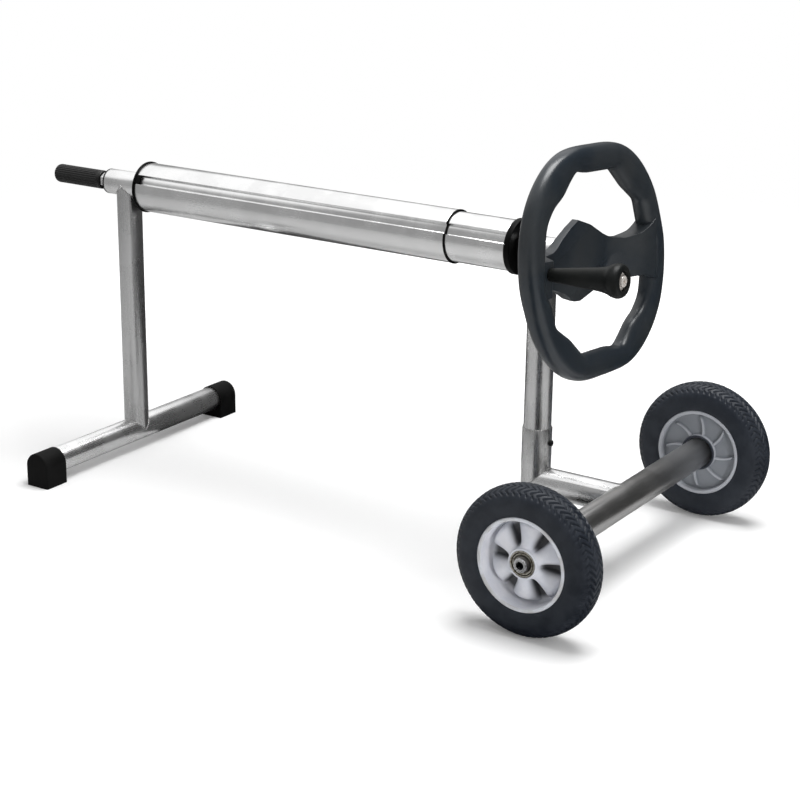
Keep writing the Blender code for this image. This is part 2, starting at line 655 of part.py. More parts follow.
def build_outer_roller(parent):
    """The outer tube with its flanged cap, its shaft through the T stand and the grip."""
    outer = OUTER_TUBE_OD / 2
    bore = outer - OUTER_TUBE_WALL
    tube_end = OUTER_TUBE_START + OUTER_TUBE_LENGTH
    wide = GROOVE_WIDTH + 0.0008
    shell = grooved_ring(OUTER_TUBE_START, tube_end, outer, GROOVE_WIDTH, bore, GROOVE_WIDTH + 0.0016)
    add_piece("outer_tube", shell, ROLLER, parent)

    ring_start = tube_end + GAP
    inner_clear = INNER_TUBE_OD / 2 + GAP
    ring = grooved_ring(
        ring_start, ring_start + SEAM_RING_WIDTH, SEAM_RING_OD / 2, wide, inner_clear, GROOVE_WIDTH,
    )
    add_piece("seam_ring", ring, CAP, parent)

    # The cap's plug follows the groove, and its tab closes the groove's mouth
    shaft_hole = SHAFT_R + GAP
    plug_r = bore - GAP
    flange = OUTER_TUBE_START - GAP
    cap = add_piece("left_end_cap", turned("X", [
        (LEFT_FLANGE_AT - LEFT_BOSS_WIDTH, shaft_hole), (LEFT_FLANGE_AT - LEFT_BOSS_WIDTH, CAP_BOSS_OD / 2),
        (LEFT_FLANGE_AT, CAP_BOSS_OD / 2), (LEFT_FLANGE_AT, LEFT_FLANGE_OD / 2 - 0.0008),
        (LEFT_FLANGE_AT + 0.0008, LEFT_FLANGE_OD / 2), (flange, LEFT_FLANGE_OD / 2),
        (flange, shaft_hole + PLUG_WALL), (OUTER_TUBE_START + PLUG_DEPTH, shaft_hole + PLUG_WALL),
        (OUTER_TUBE_START + PLUG_DEPTH, shaft_hole),
    ]), CAP, parent)
    plug = grooved_ring(
        flange - 0.001, OUTER_TUBE_START + PLUG_DEPTH, plug_r, wide + 0.001,
        plug_r - PLUG_WALL, wide + 0.001,
    )
    join(cap, plug)
    lip_half = GROOVE_WIDTH / 2 - 2 * GAP
    floor_half = lip_half - GROOVE_DEPTH / 2
    low, high = outer - GROOVE_DEPTH + GAP, outer - GAP
    sides = [(-lip_half, high), (-floor_half, low), (floor_half, low), (lip_half, high)]
    join(cap, extruded(sides, "X", flange - 0.001, flange + GROOVE_TAB), turn=(GROOVE_ANGLE - pi / 2, 0, 0))

    shaft_end = GRIP_START - GRIP_LENGTH + GRIP_END_WALL + GAP
    shaft = stepped("X", [
        (shaft_end, LOCK_NUT_FACE + GAP, STUD_D / 2),
        (LOCK_NUT_FACE + GAP, OUTER_TUBE_START + PLUG_DEPTH, SHAFT_R),
    ])
    add_piece("left_shaft", shaft, STEEL, parent)
    nut = hex_nut(LOCK_NUT_FACE - LOCK_NUT_H, LOCK_NUT_FACE, LOCK_NUT_FLATS, STUD_D)
    add_piece("lock_nut", nut, FASTENER, parent)
    add_piece("grip", grip_mesh(), GRIP_RUBBER, parent)


def build_drive_roller(parent):
    """The inner tube with its cap and slide bush, and the shaft to the handwheel."""
    outer = INNER_TUBE_OD / 2
    bore = outer - INNER_TUBE_WALL
    wide = GROOVE_WIDTH + 0.0016
    start = SEAM_AT - TUBE_OVERLAP
    shell = grooved_ring(start, INNER_TUBE_END, outer, wide, bore, wide + 0.0016)
    add_piece("inner_tube", shell, ROLLER, parent)

    slide = OUTER_TUBE_OD / 2 - OUTER_TUBE_WALL - RUNNING
    bush_end = start - GAP
    ring = grooved_ring(
        bush_end - SLIDE_BUSH_WIDTH, bush_end, slide, wide + 0.0016, slide - 0.004, wide + 0.0016,
    )
    add_piece("slide_bush", ring, NYLON, parent)

    shaft_hole = SHAFT_R + GAP
    plug_r = bore - GAP
    flange = INNER_TUBE_END + GAP
    face = RIGHT_FLANGE_AT
    cap = add_piece("right_end_cap", turned("X", [
        (face + RIGHT_BOSS_WIDTH, shaft_hole), (face + RIGHT_BOSS_WIDTH, CAP_BOSS_OD / 2),
        (face, CAP_BOSS_OD / 2), (face, RIGHT_FLANGE_OD / 2 - 0.002), (face - 0.002, RIGHT_FLANGE_OD / 2),
        (flange + 0.001, RIGHT_FLANGE_OD / 2), (flange, RIGHT_FLANGE_OD / 2 - 0.001),
        (flange, shaft_hole + PLUG_WALL), (INNER_TUBE_END - PLUG_DEPTH, shaft_hole + PLUG_WALL),
        (INNER_TUBE_END - PLUG_DEPTH, shaft_hole),
    ]), CAP, parent)
    plug = grooved_ring(
        INNER_TUBE_END - PLUG_DEPTH, flange + 0.001, plug_r, wide + 0.0026,
        plug_r - PLUG_WALL, wide + 0.0026,
    )
    join(cap, plug)

    shaft_end = HUB_PLANE - PLATE_THICKNESS / 2 + BORE_DEPTH - GAP
    shaft = add_piece("right_shaft", rod("X", INNER_TUBE_END - PLUG_DEPTH, shaft_end, SHAFT_R), STEEL, parent)
    pin_at = (boss_start() + HUB_PLANE - PLATE_THICKNESS / 2) / 2
    cut(shaft, rod("Z", -SHAFT_D, SHAFT_D, PIN_D / 2 + GAP, SMALL), (pin_at, 0, 0))
    pin = rod("Z", 0.001 - BOSS_OD / 2, BOSS_OD / 2 - 0.001, PIN_D / 2, SMALL)
    add_piece("handwheel_pin", pin, FASTENER, parent, (pin_at, 0, 0))
    return pin_at


def boss_start():
    return RIGHT_SLEEVE_HALF + BUSH_FLANGE + GAP + RUNNING


def half_turned(points):
    """Both halves of an outline whose lower half is the upper one turned half a turn."""
    return points + [(-y, -z) for y, z in points]


def rim_outer(angle):
    return (
        OVAL_MEAN + OVAL_LONG * cos(2 * (angle - OVAL_LONG_ANGLE))
        + OVAL_CORNER * cos(4 * (angle - OVAL_CORNER_ANGLE))
    )


def ray_to_outline(angle, outline):
    """Distance from the axis to a closed outline in one direction."""
    ray = Vector((cos(angle), sin(angle)))
    nearest = 1.0
    for i, end in enumerate(outline):
        one, two = Vector(outline[i - 1]), Vector(end)
        edge = two - one
        across = ray.x * edge.y - ray.y * edge.x
        if abs(across) < 1e-12:
            continue
        distance = (one.x * edge.y - one.y * edge.x) / across
        share = (one.x * ray.y - one.y * ray.x) / across
        if distance > 0 and -1e-9 <= share <= 1 + 1e-9:
            nearest = min(nearest, distance)
    return nearest


def rim_inner(angle, outline):
    """The inner edge with its corners rounded, as a mean over a few degrees."""
    spread = [radians(turn) for turn in (-5, -2.5, 0, 2.5, 5)]
    return sum(ray_to_outline(angle + turn, outline) for turn in spread) / len(spread)


def handwheel_rim():
    """A rounded section swept round the oval, as wide as its two edges are apart."""
    section = []
    for i in range(RIM_SECTION):
        turn = 2 * pi * (i + 0.5) / RIM_SECTION
        flat = 2 / 2.5
        section.append((
            abs(cos(turn)) ** flat * (1 if cos(turn) > 0 else -1),
            abs(sin(turn)) ** flat * (1 if sin(turn) > 0 else -1),
        ))
    bm = turned("X", [(a, 2 + r) for a, r in section], RIM_STEPS)
    outline = half_turned(RIM_INNER_EDGE)
    for vert in bm.verts:
        angle = atan2(vert.co.z, vert.co.y)
        share = hypot(vert.co.y, vert.co.z) - 2
        outer, inner = rim_outer(angle), rim_inner(angle, outline)
        radius = (outer + inner) / 2 + share * (outer - inner) / 2
        vert.co.x = WHEEL_PLANE + vert.co.x * RIM_THICKNESS / 2
        vert.co.y = OVAL_CENTRE[0] + radius * cos(angle)
        vert.co.z = OVAL_CENTRE[1] + radius * sin(angle)
    return bm


def plate_middle(y):
    """Depth of the arms: flat across the hub, then a smooth rise to the rim."""
    share = min(max((abs(y) - HUB_HALF_WIDTH) / (ARM_ROOT - HUB_HALF_WIDTH), 0.0), 1.0)
    return HUB_PLANE + (ARM_PLANE - HUB_PLANE) * share * share * (3 - 2 * share)


def hub_edges(y):
    """Top and bottom of the plate at a place across it, between the listed ones."""
    for one, two in zip(HUB_EDGES, HUB_EDGES[1:]):
        if one[0] <= y <= two[0]:
            share = (y - one[0]) / (two[0] - one[0])
            return [one[i] + (two[i] - one[i]) * share for i in (1, 2)]
    raise ValueError("outside the hub's edges")


def handwheel_arms():
    """The hub plate and both arms, lofted across the wheel from left to right."""
    bends = [side * y for y in (HUB_HALF_WIDTH, ARM_ROOT) for side in (-1, 1)]
    stations = sorted({round(y, 6) for y in bends + [row[0] for row in HUB_EDGES]})
    bm = bmesh.new()
    rings = []
    for y in stations:
        top, bottom = hub_edges(y)
        back = plate_middle(y) - PLATE_THICKNESS / 2
        front = back + PLATE_THICKNESS
        corners = [
            (back, bottom + PLATE_EDGE), (back, top - PLATE_EDGE), (back + PLATE_EDGE, top),
            (front - PLATE_EDGE, top), (front, top - PLATE_EDGE), (front, bottom + PLATE_EDGE),
            (front - PLATE_EDGE, bottom), (back + PLATE_EDGE, bottom),
        ]
        rings.append([bm.verts.new((x, y, z)) for x, z in corners])
    for one, two in zip(rings, rings[1:]):
        for i in range(len(one)):
            bm.faces.new((one[i - 1], one[i], two[i], two[i - 1]))
    bm.faces.new(rings[0])
    bm.faces.new(rings[-1])
    return bm


def build_handwheel(parent, pin_at):
    """One moulding: rim, arms, hub plate and boss, bored for the shaft and the knob bolt."""
    wheel = add_piece("handwheel", handwheel_rim(), HANDWHEEL, parent)
    join(wheel, handwheel_arms())
    plate_back = HUB_PLANE - PLATE_THICKNESS / 2
    join(wheel, rod("X", boss_start(), HUB_PLANE, BOSS_OD / 2))
    cut(wheel, rod("X", 0.0, plate_back + BORE_DEPTH, SHAFT_R + GAP))
    cut(wheel, rod("Z", -BOSS_OD, BOSS_OD, PIN_D / 2 + GAP, SMALL), (pin_at, 0, 0))
    hole = rod("X", -2 * PLATE_THICKNESS, PLATE_THICKNESS, KNOB_BOLT_D / 2 + GAP, SMALL)
    cut(wheel, hole, (ARM_FACE, *KNOB_AT), (0, -KNOB_LEAN, 0))


def build_knob(parent):
    """A tapered handle that turns on a bolt through the left arm."""
    axis = make_empty("knob_axis", (ARM_FACE, *KNOB_AT), parent)
    axis.rotation_euler = (0, -KNOB_LEAN, 0)
    end = KNOB_BASE + KNOB_LENGTH
    floor = end - KNOB_RECESS_DEPTH
    washer_at = floor + RUNNING
    head = washer_at + KNOB_WASHER_T + GAP
    nut_face = -PLATE_THICKNESS / cos(KNOB_LEAN) - GAP - KNOB_NUT_FLATS / sqrt(3) * tan(KNOB_LEAN)
    bolt = stepped("X", [
        (nut_face - KNOB_NUT_H - 0.0015, head, KNOB_BOLT_D / 2), (head, head + KNOB_HEAD_H, KNOB_HEAD_D / 2),
    ])
    piece = add_piece("knob_bolt", bolt, FASTENER, axis)
    top = head + KNOB_HEAD_H
    cut(piece, rod("X", top - KNOB_HEX_DEPTH, top + KNOB_HEX_DEPTH, KNOB_HEX / sqrt(3), 6))
    nut = hex_nut(nut_face - KNOB_NUT_H, nut_face, KNOB_NUT_FLATS, KNOB_BOLT_D)
    add_piece("knob_nut", nut, FASTENER, axis)
    washer = tube("X", washer_at, washer_at + KNOB_WASHER_T, KNOB_WASHER_OD / 2, KNOB_BOLT_D / 2 + GAP, SMALL)
    add_piece("knob_washer", washer, FASTENER, axis)

    bore = KNOB_BOLT_D / 2 + RUNNING
    knob = turned("X", [
        (KNOB_BASE, bore), (KNOB_BASE, KNOB_ROOT_D / 2), (KNOB_BASE + KNOB_WAIST_AT, KNOB_WAIST_D / 2),
        (end - 0.016, KNOB_END_D / 2 - 0.0015), (end - 0.009, KNOB_END_D / 2),
        (end - 0.0025, KNOB_END_D / 2 - 0.0015), (end, KNOB_END_D / 2 - 0.006),
        (end, KNOB_RECESS_D / 2), (floor, KNOB_RECESS_D / 2), (floor, bore),
    ], SMALL)
    add_piece("crank_knob", knob, KNOB, axis)


def hex_nut(start, end, flats, thread):
    """A hexagon nut along X, bored clear of its thread."""
    bm = bmesh.new()
    rings = []
    for x in (start, end):
        for radius, flat in ((flats / sqrt(3), True), (thread / 2 + GAP, False)):
            ring = []
            for i in range(NUT_STEPS):
                angle = 2 * pi * i / NUT_STEPS
                reach = radius * cos(pi / 6) if flat and i % 2 else radius
                ring.append(bm.verts.new((x, reach * cos(angle), reach * sin(angle))))
            rings.append(ring)
    near_out, near_in, far_out, far_in = rings
    for one, two in ((near_out, far_out), (far_out, far_in), (far_in, near_in), (near_in, near_out)):
        for i in range(NUT_STEPS):
            bm.faces.new((one[i - 1], one[i], two[i], two[i - 1]))
    return bm


def main():
    clear_scene()
    wheeled_stand = make_empty("wheeled_stand", (POST_X, 0, 0))
    build_wheeled_stand(wheeled_stand)
    build_axle(wheeled_stand)
    build_wheel("front", -1, wheeled_stand)
    build_wheel("rear", 1, wheeled_stand)

    t_stand = make_empty("t_stand", (-POST_SPAN, 0, 0), wheeled_stand)
    build_left_stand(t_stand)
    outer_axis = make_empty("outer_roller_axis", (0, 0, AXIS_HEIGHT), t_stand)
    build_outer_roller(outer_axis)

    drive_axis = make_empty("drive_roller_axis", (0, 0, AXIS_HEIGHT), wheeled_stand)
    pin_at = build_drive_roller(drive_axis)
    build_handwheel(drive_axis, pin_at)
    build_knob(drive_axis)


main()
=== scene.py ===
# %% [markdown]
# # A pool cover reel, piece by piece
# The reel carries a floating pool cover. A telescopic roller lies in two stands, and an oval
# handwheel with a crank knob turns it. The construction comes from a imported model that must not
# move, so this lesson builds finer pieces at the same places and gives every surface its finish.

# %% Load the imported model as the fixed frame
import json
from math import atan2, cos, floor, hypot, pi, radians, sin, sqrt

import bmesh
import bpy
from mathutils import Matrix, Vector


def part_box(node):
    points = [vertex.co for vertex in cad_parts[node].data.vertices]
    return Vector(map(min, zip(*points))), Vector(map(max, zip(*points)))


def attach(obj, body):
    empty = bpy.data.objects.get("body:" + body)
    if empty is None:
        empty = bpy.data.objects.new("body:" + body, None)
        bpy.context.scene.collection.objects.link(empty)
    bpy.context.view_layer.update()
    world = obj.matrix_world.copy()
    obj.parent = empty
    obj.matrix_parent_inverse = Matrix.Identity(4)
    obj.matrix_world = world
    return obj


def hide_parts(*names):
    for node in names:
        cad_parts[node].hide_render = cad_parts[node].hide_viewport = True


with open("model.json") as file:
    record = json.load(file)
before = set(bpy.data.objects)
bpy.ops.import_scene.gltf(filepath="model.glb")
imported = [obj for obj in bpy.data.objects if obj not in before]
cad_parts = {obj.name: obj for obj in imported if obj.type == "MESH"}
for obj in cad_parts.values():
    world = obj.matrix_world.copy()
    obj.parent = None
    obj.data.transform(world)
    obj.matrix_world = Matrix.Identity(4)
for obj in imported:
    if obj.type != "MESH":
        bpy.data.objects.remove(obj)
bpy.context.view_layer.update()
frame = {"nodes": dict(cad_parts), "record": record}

bodies_in_record = frame["record"]["behaviour"]["bodies"]
BODY_OF = {node: body for body, nodes in bodies_in_record.items() for node in nodes}

# %% [markdown]
# ## Places taken from the frame
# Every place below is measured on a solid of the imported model, so a finer piece can't drift away
# from the solid that it stands for. Middle, low and high corners are enough for turned parts.

# %% Measure the solids
GAP = 0.0003
BOXES = {node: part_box(node) for node in BODY_OF}
SIDE_OF = {"front": -1, "rear": 1}


def low(node):
    return BOXES[node][0]


def high(node):
    return BOXES[node][1]


def middle(node):
    return (low(node) + high(node)) / 2


def extent(node):
    return high(node) - low(node)


def span(node, axis=0):
    """Where a solid starts and ends along one axis."""
    return low(node)[axis], high(node)[axis]


POST = middle("right_post")
FOOT_POST = middle("left_post")
AXIS = Vector((0, 0, middle("right_sleeve").z))
AXLE = middle("axle_tube")
TUBE_R = extent("right_post").y / 2
SOCKET_R = extent("axle_tube").x / 2
TUBE_WALL = 0.0015
TUBE_BORE = TUBE_R - TUBE_WALL
FOOT = middle("foot_tube")
SHAFT_R = extent("right_shaft").y / 2
SHAFT_BORE = SHAFT_R + GAP
print("posts", round(FOOT_POST.x, 4), round(POST.x, 4), "roller axis", round(AXIS.z, 4))

# %% [markdown]
# ## The camera
# The photograph was taken from the handwheel's side, a little above the roller. Yaw, pitch, roll
# and the focal length were solved from the wheels, the posts and the roller, so the camera is
# placed by those numbers and needs no shift.

# %% Place the camera
PHOTO_SIZE = 800
FOCAL_PIXELS = 1916.0
YAW = radians(33.358)
PITCH = radians(18.088)
ROLL = radians(0.696)
LOOK_AT = Vector((POST.x - 0.22633, 0, 0.17301))
CAMERA_DISTANCE = 2.75006


def linked(name, data):
    """A new object in the scene."""
    item = bpy.data.objects.new(name, data)
    bpy.context.scene.collection.objects.link(item)
    return item


def place_camera():
    forward = Vector((-sin(YAW) * cos(PITCH), cos(YAW) * cos(PITCH), -sin(PITCH)))
    level = Vector((cos(YAW), sin(YAW), 0))
    upright = level.cross(forward)
    right = level * cos(ROLL) + upright * sin(ROLL)
    up = upright * cos(ROLL) - level * sin(ROLL)
    camera = linked("camera", bpy.data.cameras.new("camera"))
    turn = Matrix((right, up, -forward)).transposed()
    camera.matrix_world = Matrix.LocRotScale(LOOK_AT - forward * CAMERA_DISTANCE, turn, None)
    camera.data.sensor_width = 36
    camera.data.lens = FOCAL_PIXELS * camera.data.sensor_width / PHOTO_SIZE
    camera.data.clip_end = 50
    bpy.context.scene.camera = camera
    return camera


print("camera at", [round(x, 3) for x in place_camera().location])

# %% [markdown]
# ## Sums on shader sockets
# A finish is easier to read as a sum than as a web of nodes. A `Signal` wraps one output socket
# and turns + - * / into Math nodes. Every other node comes from `Finish.node`, which sets a node's
# own settings first and then its inputs. Finished materials are kept by name in `FINISHES`.

# %% Wrap sockets and nodes
class Signal:
    """One output socket, on which Python can do sums."""

    def __init__(self, finish, socket):
        self.finish = finish
        self.socket = socket

    def maths(self, operation, *values):
        return self.finish.node("ShaderNodeMath", {"operation": operation}, dict(enumerate(values)))

    def __add__(self, other):
        return self.maths("ADD", self, other)

    __radd__ = __add__

    def __sub__(self, other):
        return self.maths("SUBTRACT", self, other)

    def __rsub__(self, other):
        return self.maths("SUBTRACT", other, self)

    def __mul__(self, other):
        return self.maths("MULTIPLY", self, other)

    __rmul__ = __mul__

    def __truediv__(self, other):
        return self.maths("DIVIDE", self, other)

    def power(self, exponent):
        return self.maths("POWER", self, exponent)

    def size(self):
        return self.maths("ABSOLUTE", self)

    def between(self, start, end):
        """0 below start, 1 above end, and smooth from one to the other."""
        settings = {"interpolation_type": "SMOOTHSTEP"}
        sockets = {"Value": self, "From Min": start, "From Max": end}
        return self.finish.node("ShaderNodeMapRange", settings, sockets)


FINISHES = {}


class Finish:
    """A material, and the one method that makes its nodes."""

    def __init__(self, name, constants):
        self.material = bpy.data.materials.new(name)
        self.material.use_nodes = True
        self.tree = self.material.node_tree
        self.shader = self.tree.nodes["Principled BSDF"]
        for socket, number in constants.items():
            self.shade(socket, number)

    def feed(self, socket, value):
        if isinstance(value, Signal):
            self.tree.links.new(value.socket, socket)
        else:
            socket.default_value = value

    def node(self, kind, settings, sockets, output=0):
        made = self.tree.nodes.new(kind)
        for name, value in settings.items():
            setattr(made, name, value)
        for name, value in sockets.items():
            self.feed(made.inputs[name], value)
        return Signal(self, made.outputs[output])

    def place(self, stretch=(1, 1, 1), centre=(0, 0, 0)):
        """Object coordinates, centred on a point and stretched along the axes."""
        at = self.node("ShaderNodeTexCoord", {}, {}, "Object")
        moved = self.node("ShaderNodeVectorMath", {"operation": "SUBTRACT"}, {0: at, 1: centre})
        return self.node("ShaderNodeMapping", {}, {"Vector": moved, "Scale": stretch})

    def parts_of(self, vector):
        """The x, y and z of a vector."""
        return [self.node("ShaderNodeSeparateXYZ", {}, {0: vector}, axis) for axis in range(3)]

    def noise(self, scale, detail, roughness=0.55, stretch=(1, 1, 1)):
        place = self.place(stretch)
        sockets = {"Vector": place, "Scale": scale, "Detail": detail, "Roughness": roughness}
        return self.node("ShaderNodeTexNoise", {}, sockets)

    def mix(self, share, one, two):
        """A colour between two colours."""
        return self.node("ShaderNodeMix", {"data_type": "RGBA"}, {0: share, 6: one, 7: two}, 2)

    def ray(self, kind):
        return self.node("ShaderNodeLightPath", {}, {}, f"Is {kind} Ray")

    def shade(self, name, value):
        """Feed one input of the shader."""
        self.feed(self.shader.inputs[name], value)

    def surface(self, name, colour, roughness, height, depth, strength=0.6):
        """Feed colour, roughness and bump, and keep the material under its name."""
        self.shade("Base Color", colour)
        self.shade("Roughness", roughness)
        sockets = {"Height": height, "Distance": depth, "Strength": strength}
        self.shade("Normal", self.node("ShaderNodeBump", {}, sockets))
        FINISHES[name] = self.material


def radius_of(one, other):
    """How far a place lies from an axis, from its two signals across that axis."""
    return (one * one + other * other).power(0.5)


def grey(level, warm=0.0):
    """A colour close to grey; warm leans to brown above 0 and to blue below."""
    return (level * (1 + warm), level, level * (1 - warm), 1.0)


print("signals and finishes are ready")

# %% [markdown]
# ## Metal finishes
# The stands are drawn stainless tube: a polished skin with faint lines along each tube and a few
# cloudy finger marks. Both are noise. Stretched along the tube it gives the lines, and unstretched
# it gives the clouds, which move the roughness and the colour a little. The one steel is made in a
# copy for each direction of tube, painted darker on the upright posts and lighter on the lying
# tubes: painted shade and painted light.

# %% Make the drawn, plated and pressed metals
LINE_STRETCH = {"X": (0.03, 1, 1), "Y": (1, 0.03, 1), "Z": (1, 1, 0.03)}


def drawn_metal(name, axis, level, rough, warm=0.0, line_scale=900, cloud=0.05, mottle=0.0):
    """Tube metal with drawing lines along one axis."""
    finish = Finish(name, {"Metallic": 1.0})
    lines = finish.noise(line_scale, 2.0, stretch=LINE_STRETCH[axis])
    worn = finish.noise(22, 4.0).between(0.42, 0.66)
    specks = finish.noise(420, 3.0, 0.7)
    tone = finish.mix(worn, grey(level * 0.95, warm), grey(level * 1.04, warm))
    colour = finish.mix(specks.between(0.56, 0.72) * mottle, tone, grey(level * 0.5, warm))
    roughness = rough + worn * cloud + lines.between(0.4, 0.7) * 0.05
    finish.surface(name, colour, roughness, lines + specks * (0.08 + mottle), 0.000012, 0.5)


def plated_metal(name, level, rough, warm=0.0, metallic=1.0):
    """Bright plated steel of bolts, nuts and washers, with fine scratches."""
    finish = Finish(name, {"Metallic": metallic})
    marks = finish.noise(500, 4.0, 0.7, (1, 3, 1))
    dull = finish.noise(130, 3.0).between(0.4, 0.7)
    colour = finish.mix(dull, grey(level, warm), grey(level * 0.82, warm))
    finish.surface(name, colour, rough + marks.between(0.5, 0.75) * 0.12, marks, 0.00001, 0.5)


def bearing_metal(name, centre):
    """Pressed bearing shield with turned rings, a little bronze with old grease, and painted shade.
    """
    finish = Finish(name, {"Metallic": 1.0})
    x, _, z = finish.parts_of(finish.place(centre=centre))
    radius = radius_of(x, z)
    line = {"noise_dimensions": "1D"}
    rings = finish.node("ShaderNodeTexNoise", line, {"W": radius, "Scale": 2600, "Detail": 2})
    grease = finish.noise(420, 4.0, 0.7)
    tone = finish.mix(grease.between(0.42, 0.62), (0.62, 0.59, 0.52, 1), (0.20, 0.175, 0.125, 1))
    # Near black in the seam's groove and by the race: painted shade.
    lit = (radius - SHIELD_SEAM_R).size().between(0.0003, 0.0009) * radius.between(0.0105, 0.0120)
    colour = finish.mix(lit, (0.045, 0.040, 0.030, 1), tone)
    roughness = grease.between(0.4, 0.7) * 0.22 + rings * 0.06 + 0.24
    finish.surface(name, colour, roughness, rings + grease, 0.00006)


def bolt_metal(name, centre):
    """Bright plating with old grease, and the key's socket painted near black as painted shade."""
    finish = Finish(name, {"Metallic": 1.0})
    x, _, z = finish.parts_of(finish.place(centre=centre))
    outside = radius_of(x, z).between(KEY_R * 0.88, KEY_R * 1.04)
    marks = finish.noise(640, 3.0, 0.6)
    # Near black inside the key's radius: painted shade in the socket.
    colour = finish.mix(outside, (0.006, 0.007, 0.008, 1), grey(0.88))
    finish.surface(name, colour, 0.10 + marks.between(0.5, 0.75) * 0.15, marks, 0.0016, 1.0)


KEY_R = 0.0055
SHIELD_SEAM_R = 0.0148
# Painted shade and light: the posts' copy is darker, the lying tubes' copies lighter.
for axis, level in {"X": 0.94, "Y": 0.97, "Z": 0.70}.items():
    drawn_metal(f"steel_painted_shade_by_axis_{axis}", axis, level, 0.25)
drawn_metal("roller_metal", "X", 0.96, 0.19, mottle=0.04)
drawn_metal("axle_metal", "Y", 0.51, 0.29, warm=0.01, mottle=0.20)
drawn_metal("weld_metal", "X", 0.52, 0.40, warm=0.01, line_scale=300, cloud=0.08)
plated_metal("nut_plating", 0.95, 0.22, metallic=0.75)
plated_metal("knob_bolt_plating", 0.84, 0.20, 0.06, metallic=0.5)
plated_metal("bright_plated_steel", 0.74, 0.14)
plated_metal("aged_plated_steel", 0.34, 0.30, 0.05)
plated_metal("black_oxide_steel", 0.035, 0.34)
bolt_metal("axle_bolt_plating", AXLE)
for name in SIDE_OF:
    bearing_metal(f"{name}_bearing_shield", middle(f"{name}_rim"))
print("metals:", ", ".join(FINISHES))

# %% [markdown]
# ## Rubber and plastic finishes
# Moulded parts are dark and nearly one colour, so their surface tells them apart: the handwheel
# has wide pale clouds and a soft shine, the tyres a bluish dusty bloom, and the caps a plain dull
# black. Small voronoi cells give the grain of a moulding tool.

# %% Make the moulded finishes
def moulded(name, dark, light, rough, cloud, shine, grain=1500):
    """Moulded plastic or rubber: two close tones in soft clouds over a fine grain."""
    finish = Finish(name, {"Specular IOR Level": shine})
    clouds = finish.noise(cloud, 5.0, 0.6)
    dust = finish.noise(260, 4.0, 0.7)
    cells = finish.node("ShaderNodeTexVoronoi", {}, {"Vector": finish.place(), "Scale": grain})
    share = clouds.between(0.38, 0.64) * 0.8 + dust.between(0.5, 0.7) * 0.2
    roughness = clouds.between(0.4, 0.7) * 0.10 + dust * 0.04 + rough
    finish.surface(name, finish.mix(share, (*dark, 1), (*light, 1)), roughness, cells + dust, 0.00002)


MOULDED = {
    "handwheel_plastic": ((0.012, 0.018, 0.025), (0.029, 0.033, 0.036), 0.29, 7, 0.60),
    "knob_plastic": ((0.006, 0.007, 0.007), (0.012, 0.013, 0.012), 0.40, 16, 0.20),
    "tyre_rubber": ((0.010, 0.014, 0.022), (0.021, 0.026, 0.036), 0.46, 40, 0.42),
    "black_cap_plastic": ((0.001, 0.001, 0.001), (0.003, 0.003, 0.003), 0.36, 30, 0.10),
    "foot_rubber": ((0.002, 0.002, 0.002), (0.005, 0.005, 0.005), 0.60, 30, 0.14, 900),
    "grip_rubber": ((0.001, 0.001, 0.001), (0.005, 0.005, 0.005), 0.36, 180, 0.42),
    "bush_nylon": ((0.004, 0.004, 0.004), (0.009, 0.009, 0.009), 0.40, 60, 0.20),
}
for name, values in MOULDED.items():
    moulded(name, *values)
print("moulded finishes:", ", ".join(MOULDED))

# %% [markdown]
# ## Tools for turned and cut pieces
# Most of the reel is round, so a profile of a few points is spun round an axis with
# `bmesh.ops.spin`, or a grid is wrapped round it. Real edges are never knife sharp: `soften` bevels
# each sharp edge, which also gives the bright line that an edge shows in the light. A few pieces
# are cut or joined with a Boolean.

# %% Define the tools
AXES = {"X": Vector((1, 0, 0)), "Y": Vector((0, 1, 0)), "Z": Vector((0, 0, 1))}
SIDES = {"X": Vector((0, 1, 0)), "Y": Vector((1, 0, 0)), "Z": Vector((1, 0, 0))}
FINE = 128


def mended(bm):
    """Merge points that meet and turn every face outwards."""
    bmesh.ops.remove_doubles(bm, verts=bm.verts, dist=1e-6)
    bmesh.ops.recalc_face_normals(bm, faces=bm.faces)
    return bm


def shifted(bm, shift):
    bmesh.ops.translate(bm, vec=shift, verts=bm.verts)
    return bm


def placed_at(start, profile, out=1):
    """A profile moved along its axis, and turned about if out is -1."""
    return [(start + out * a, r) for a, r in profile]


def mirrored(profile):
    return placed_at(0, reversed(profile), -1)


def turned(axis, profile, centre=(0, 0, 0), steps=FINE, closed=True):
    """Spin (along, radius) points round one axis: a ring if closed, else a solid."""
    bm = bmesh.new()
    verts = [bm.verts.new(AXES[axis] * a + SIDES[axis] * r) for a, r in profile]
    pairs = list(zip(verts, verts[1:])) + ([(verts[-1], verts[0])] if closed else [])
    edges = [bm.edges.new(pair) for pair in pairs]
    bmesh.ops.spin(
        bm, geom=verts + edges, cent=(0, 0, 0), axis=AXES[axis], dvec=(0, 0, 0),
        angle=2 * pi, steps=steps, use_merge=True,
    )
    return shifted(mended(bm), centre)


def rod(axis, start, end, radius, centre=(0, 0, 0), steps=96):
    profile = [(start, 0), (start, radius), (end, radius), (end, 0)]
    return turned(axis, profile, centre, steps, closed=False)


def wrapped(axis, profile, centre, steps, closed=True):
    """The same as turned, from a grid wrapped round the axis, which is quick for fine pieces."""
    bm = bmesh.new()
    line = profile + profile[:1] if closed else profile
    bmesh.ops.create_grid(bm, x_segments=len(line) - 1, y_segments=steps, size=1.0)
    side, other = SIDES[axis], AXES[axis].cross(SIDES[axis])
    for vert in bm.verts:
        a, r = line[round((vert.co.x + 1) / 2 * (len(line) - 1))]
        angle = pi * (vert.co.y + 1)
        vert.co = Vector(centre) + AXES[axis] * a + (side * cos(angle) + other * sin(angle)) * r
    return mended(bm)


def bevel(bm, edges, width, segments, clamp_overlap=True):
    bmesh.ops.bevel(
        bm, geom=edges, offset=width, segments=segments, profile=0.5, affect="EDGES",
        material=-1, clamp_overlap=clamp_overlap,
    )
    return bm


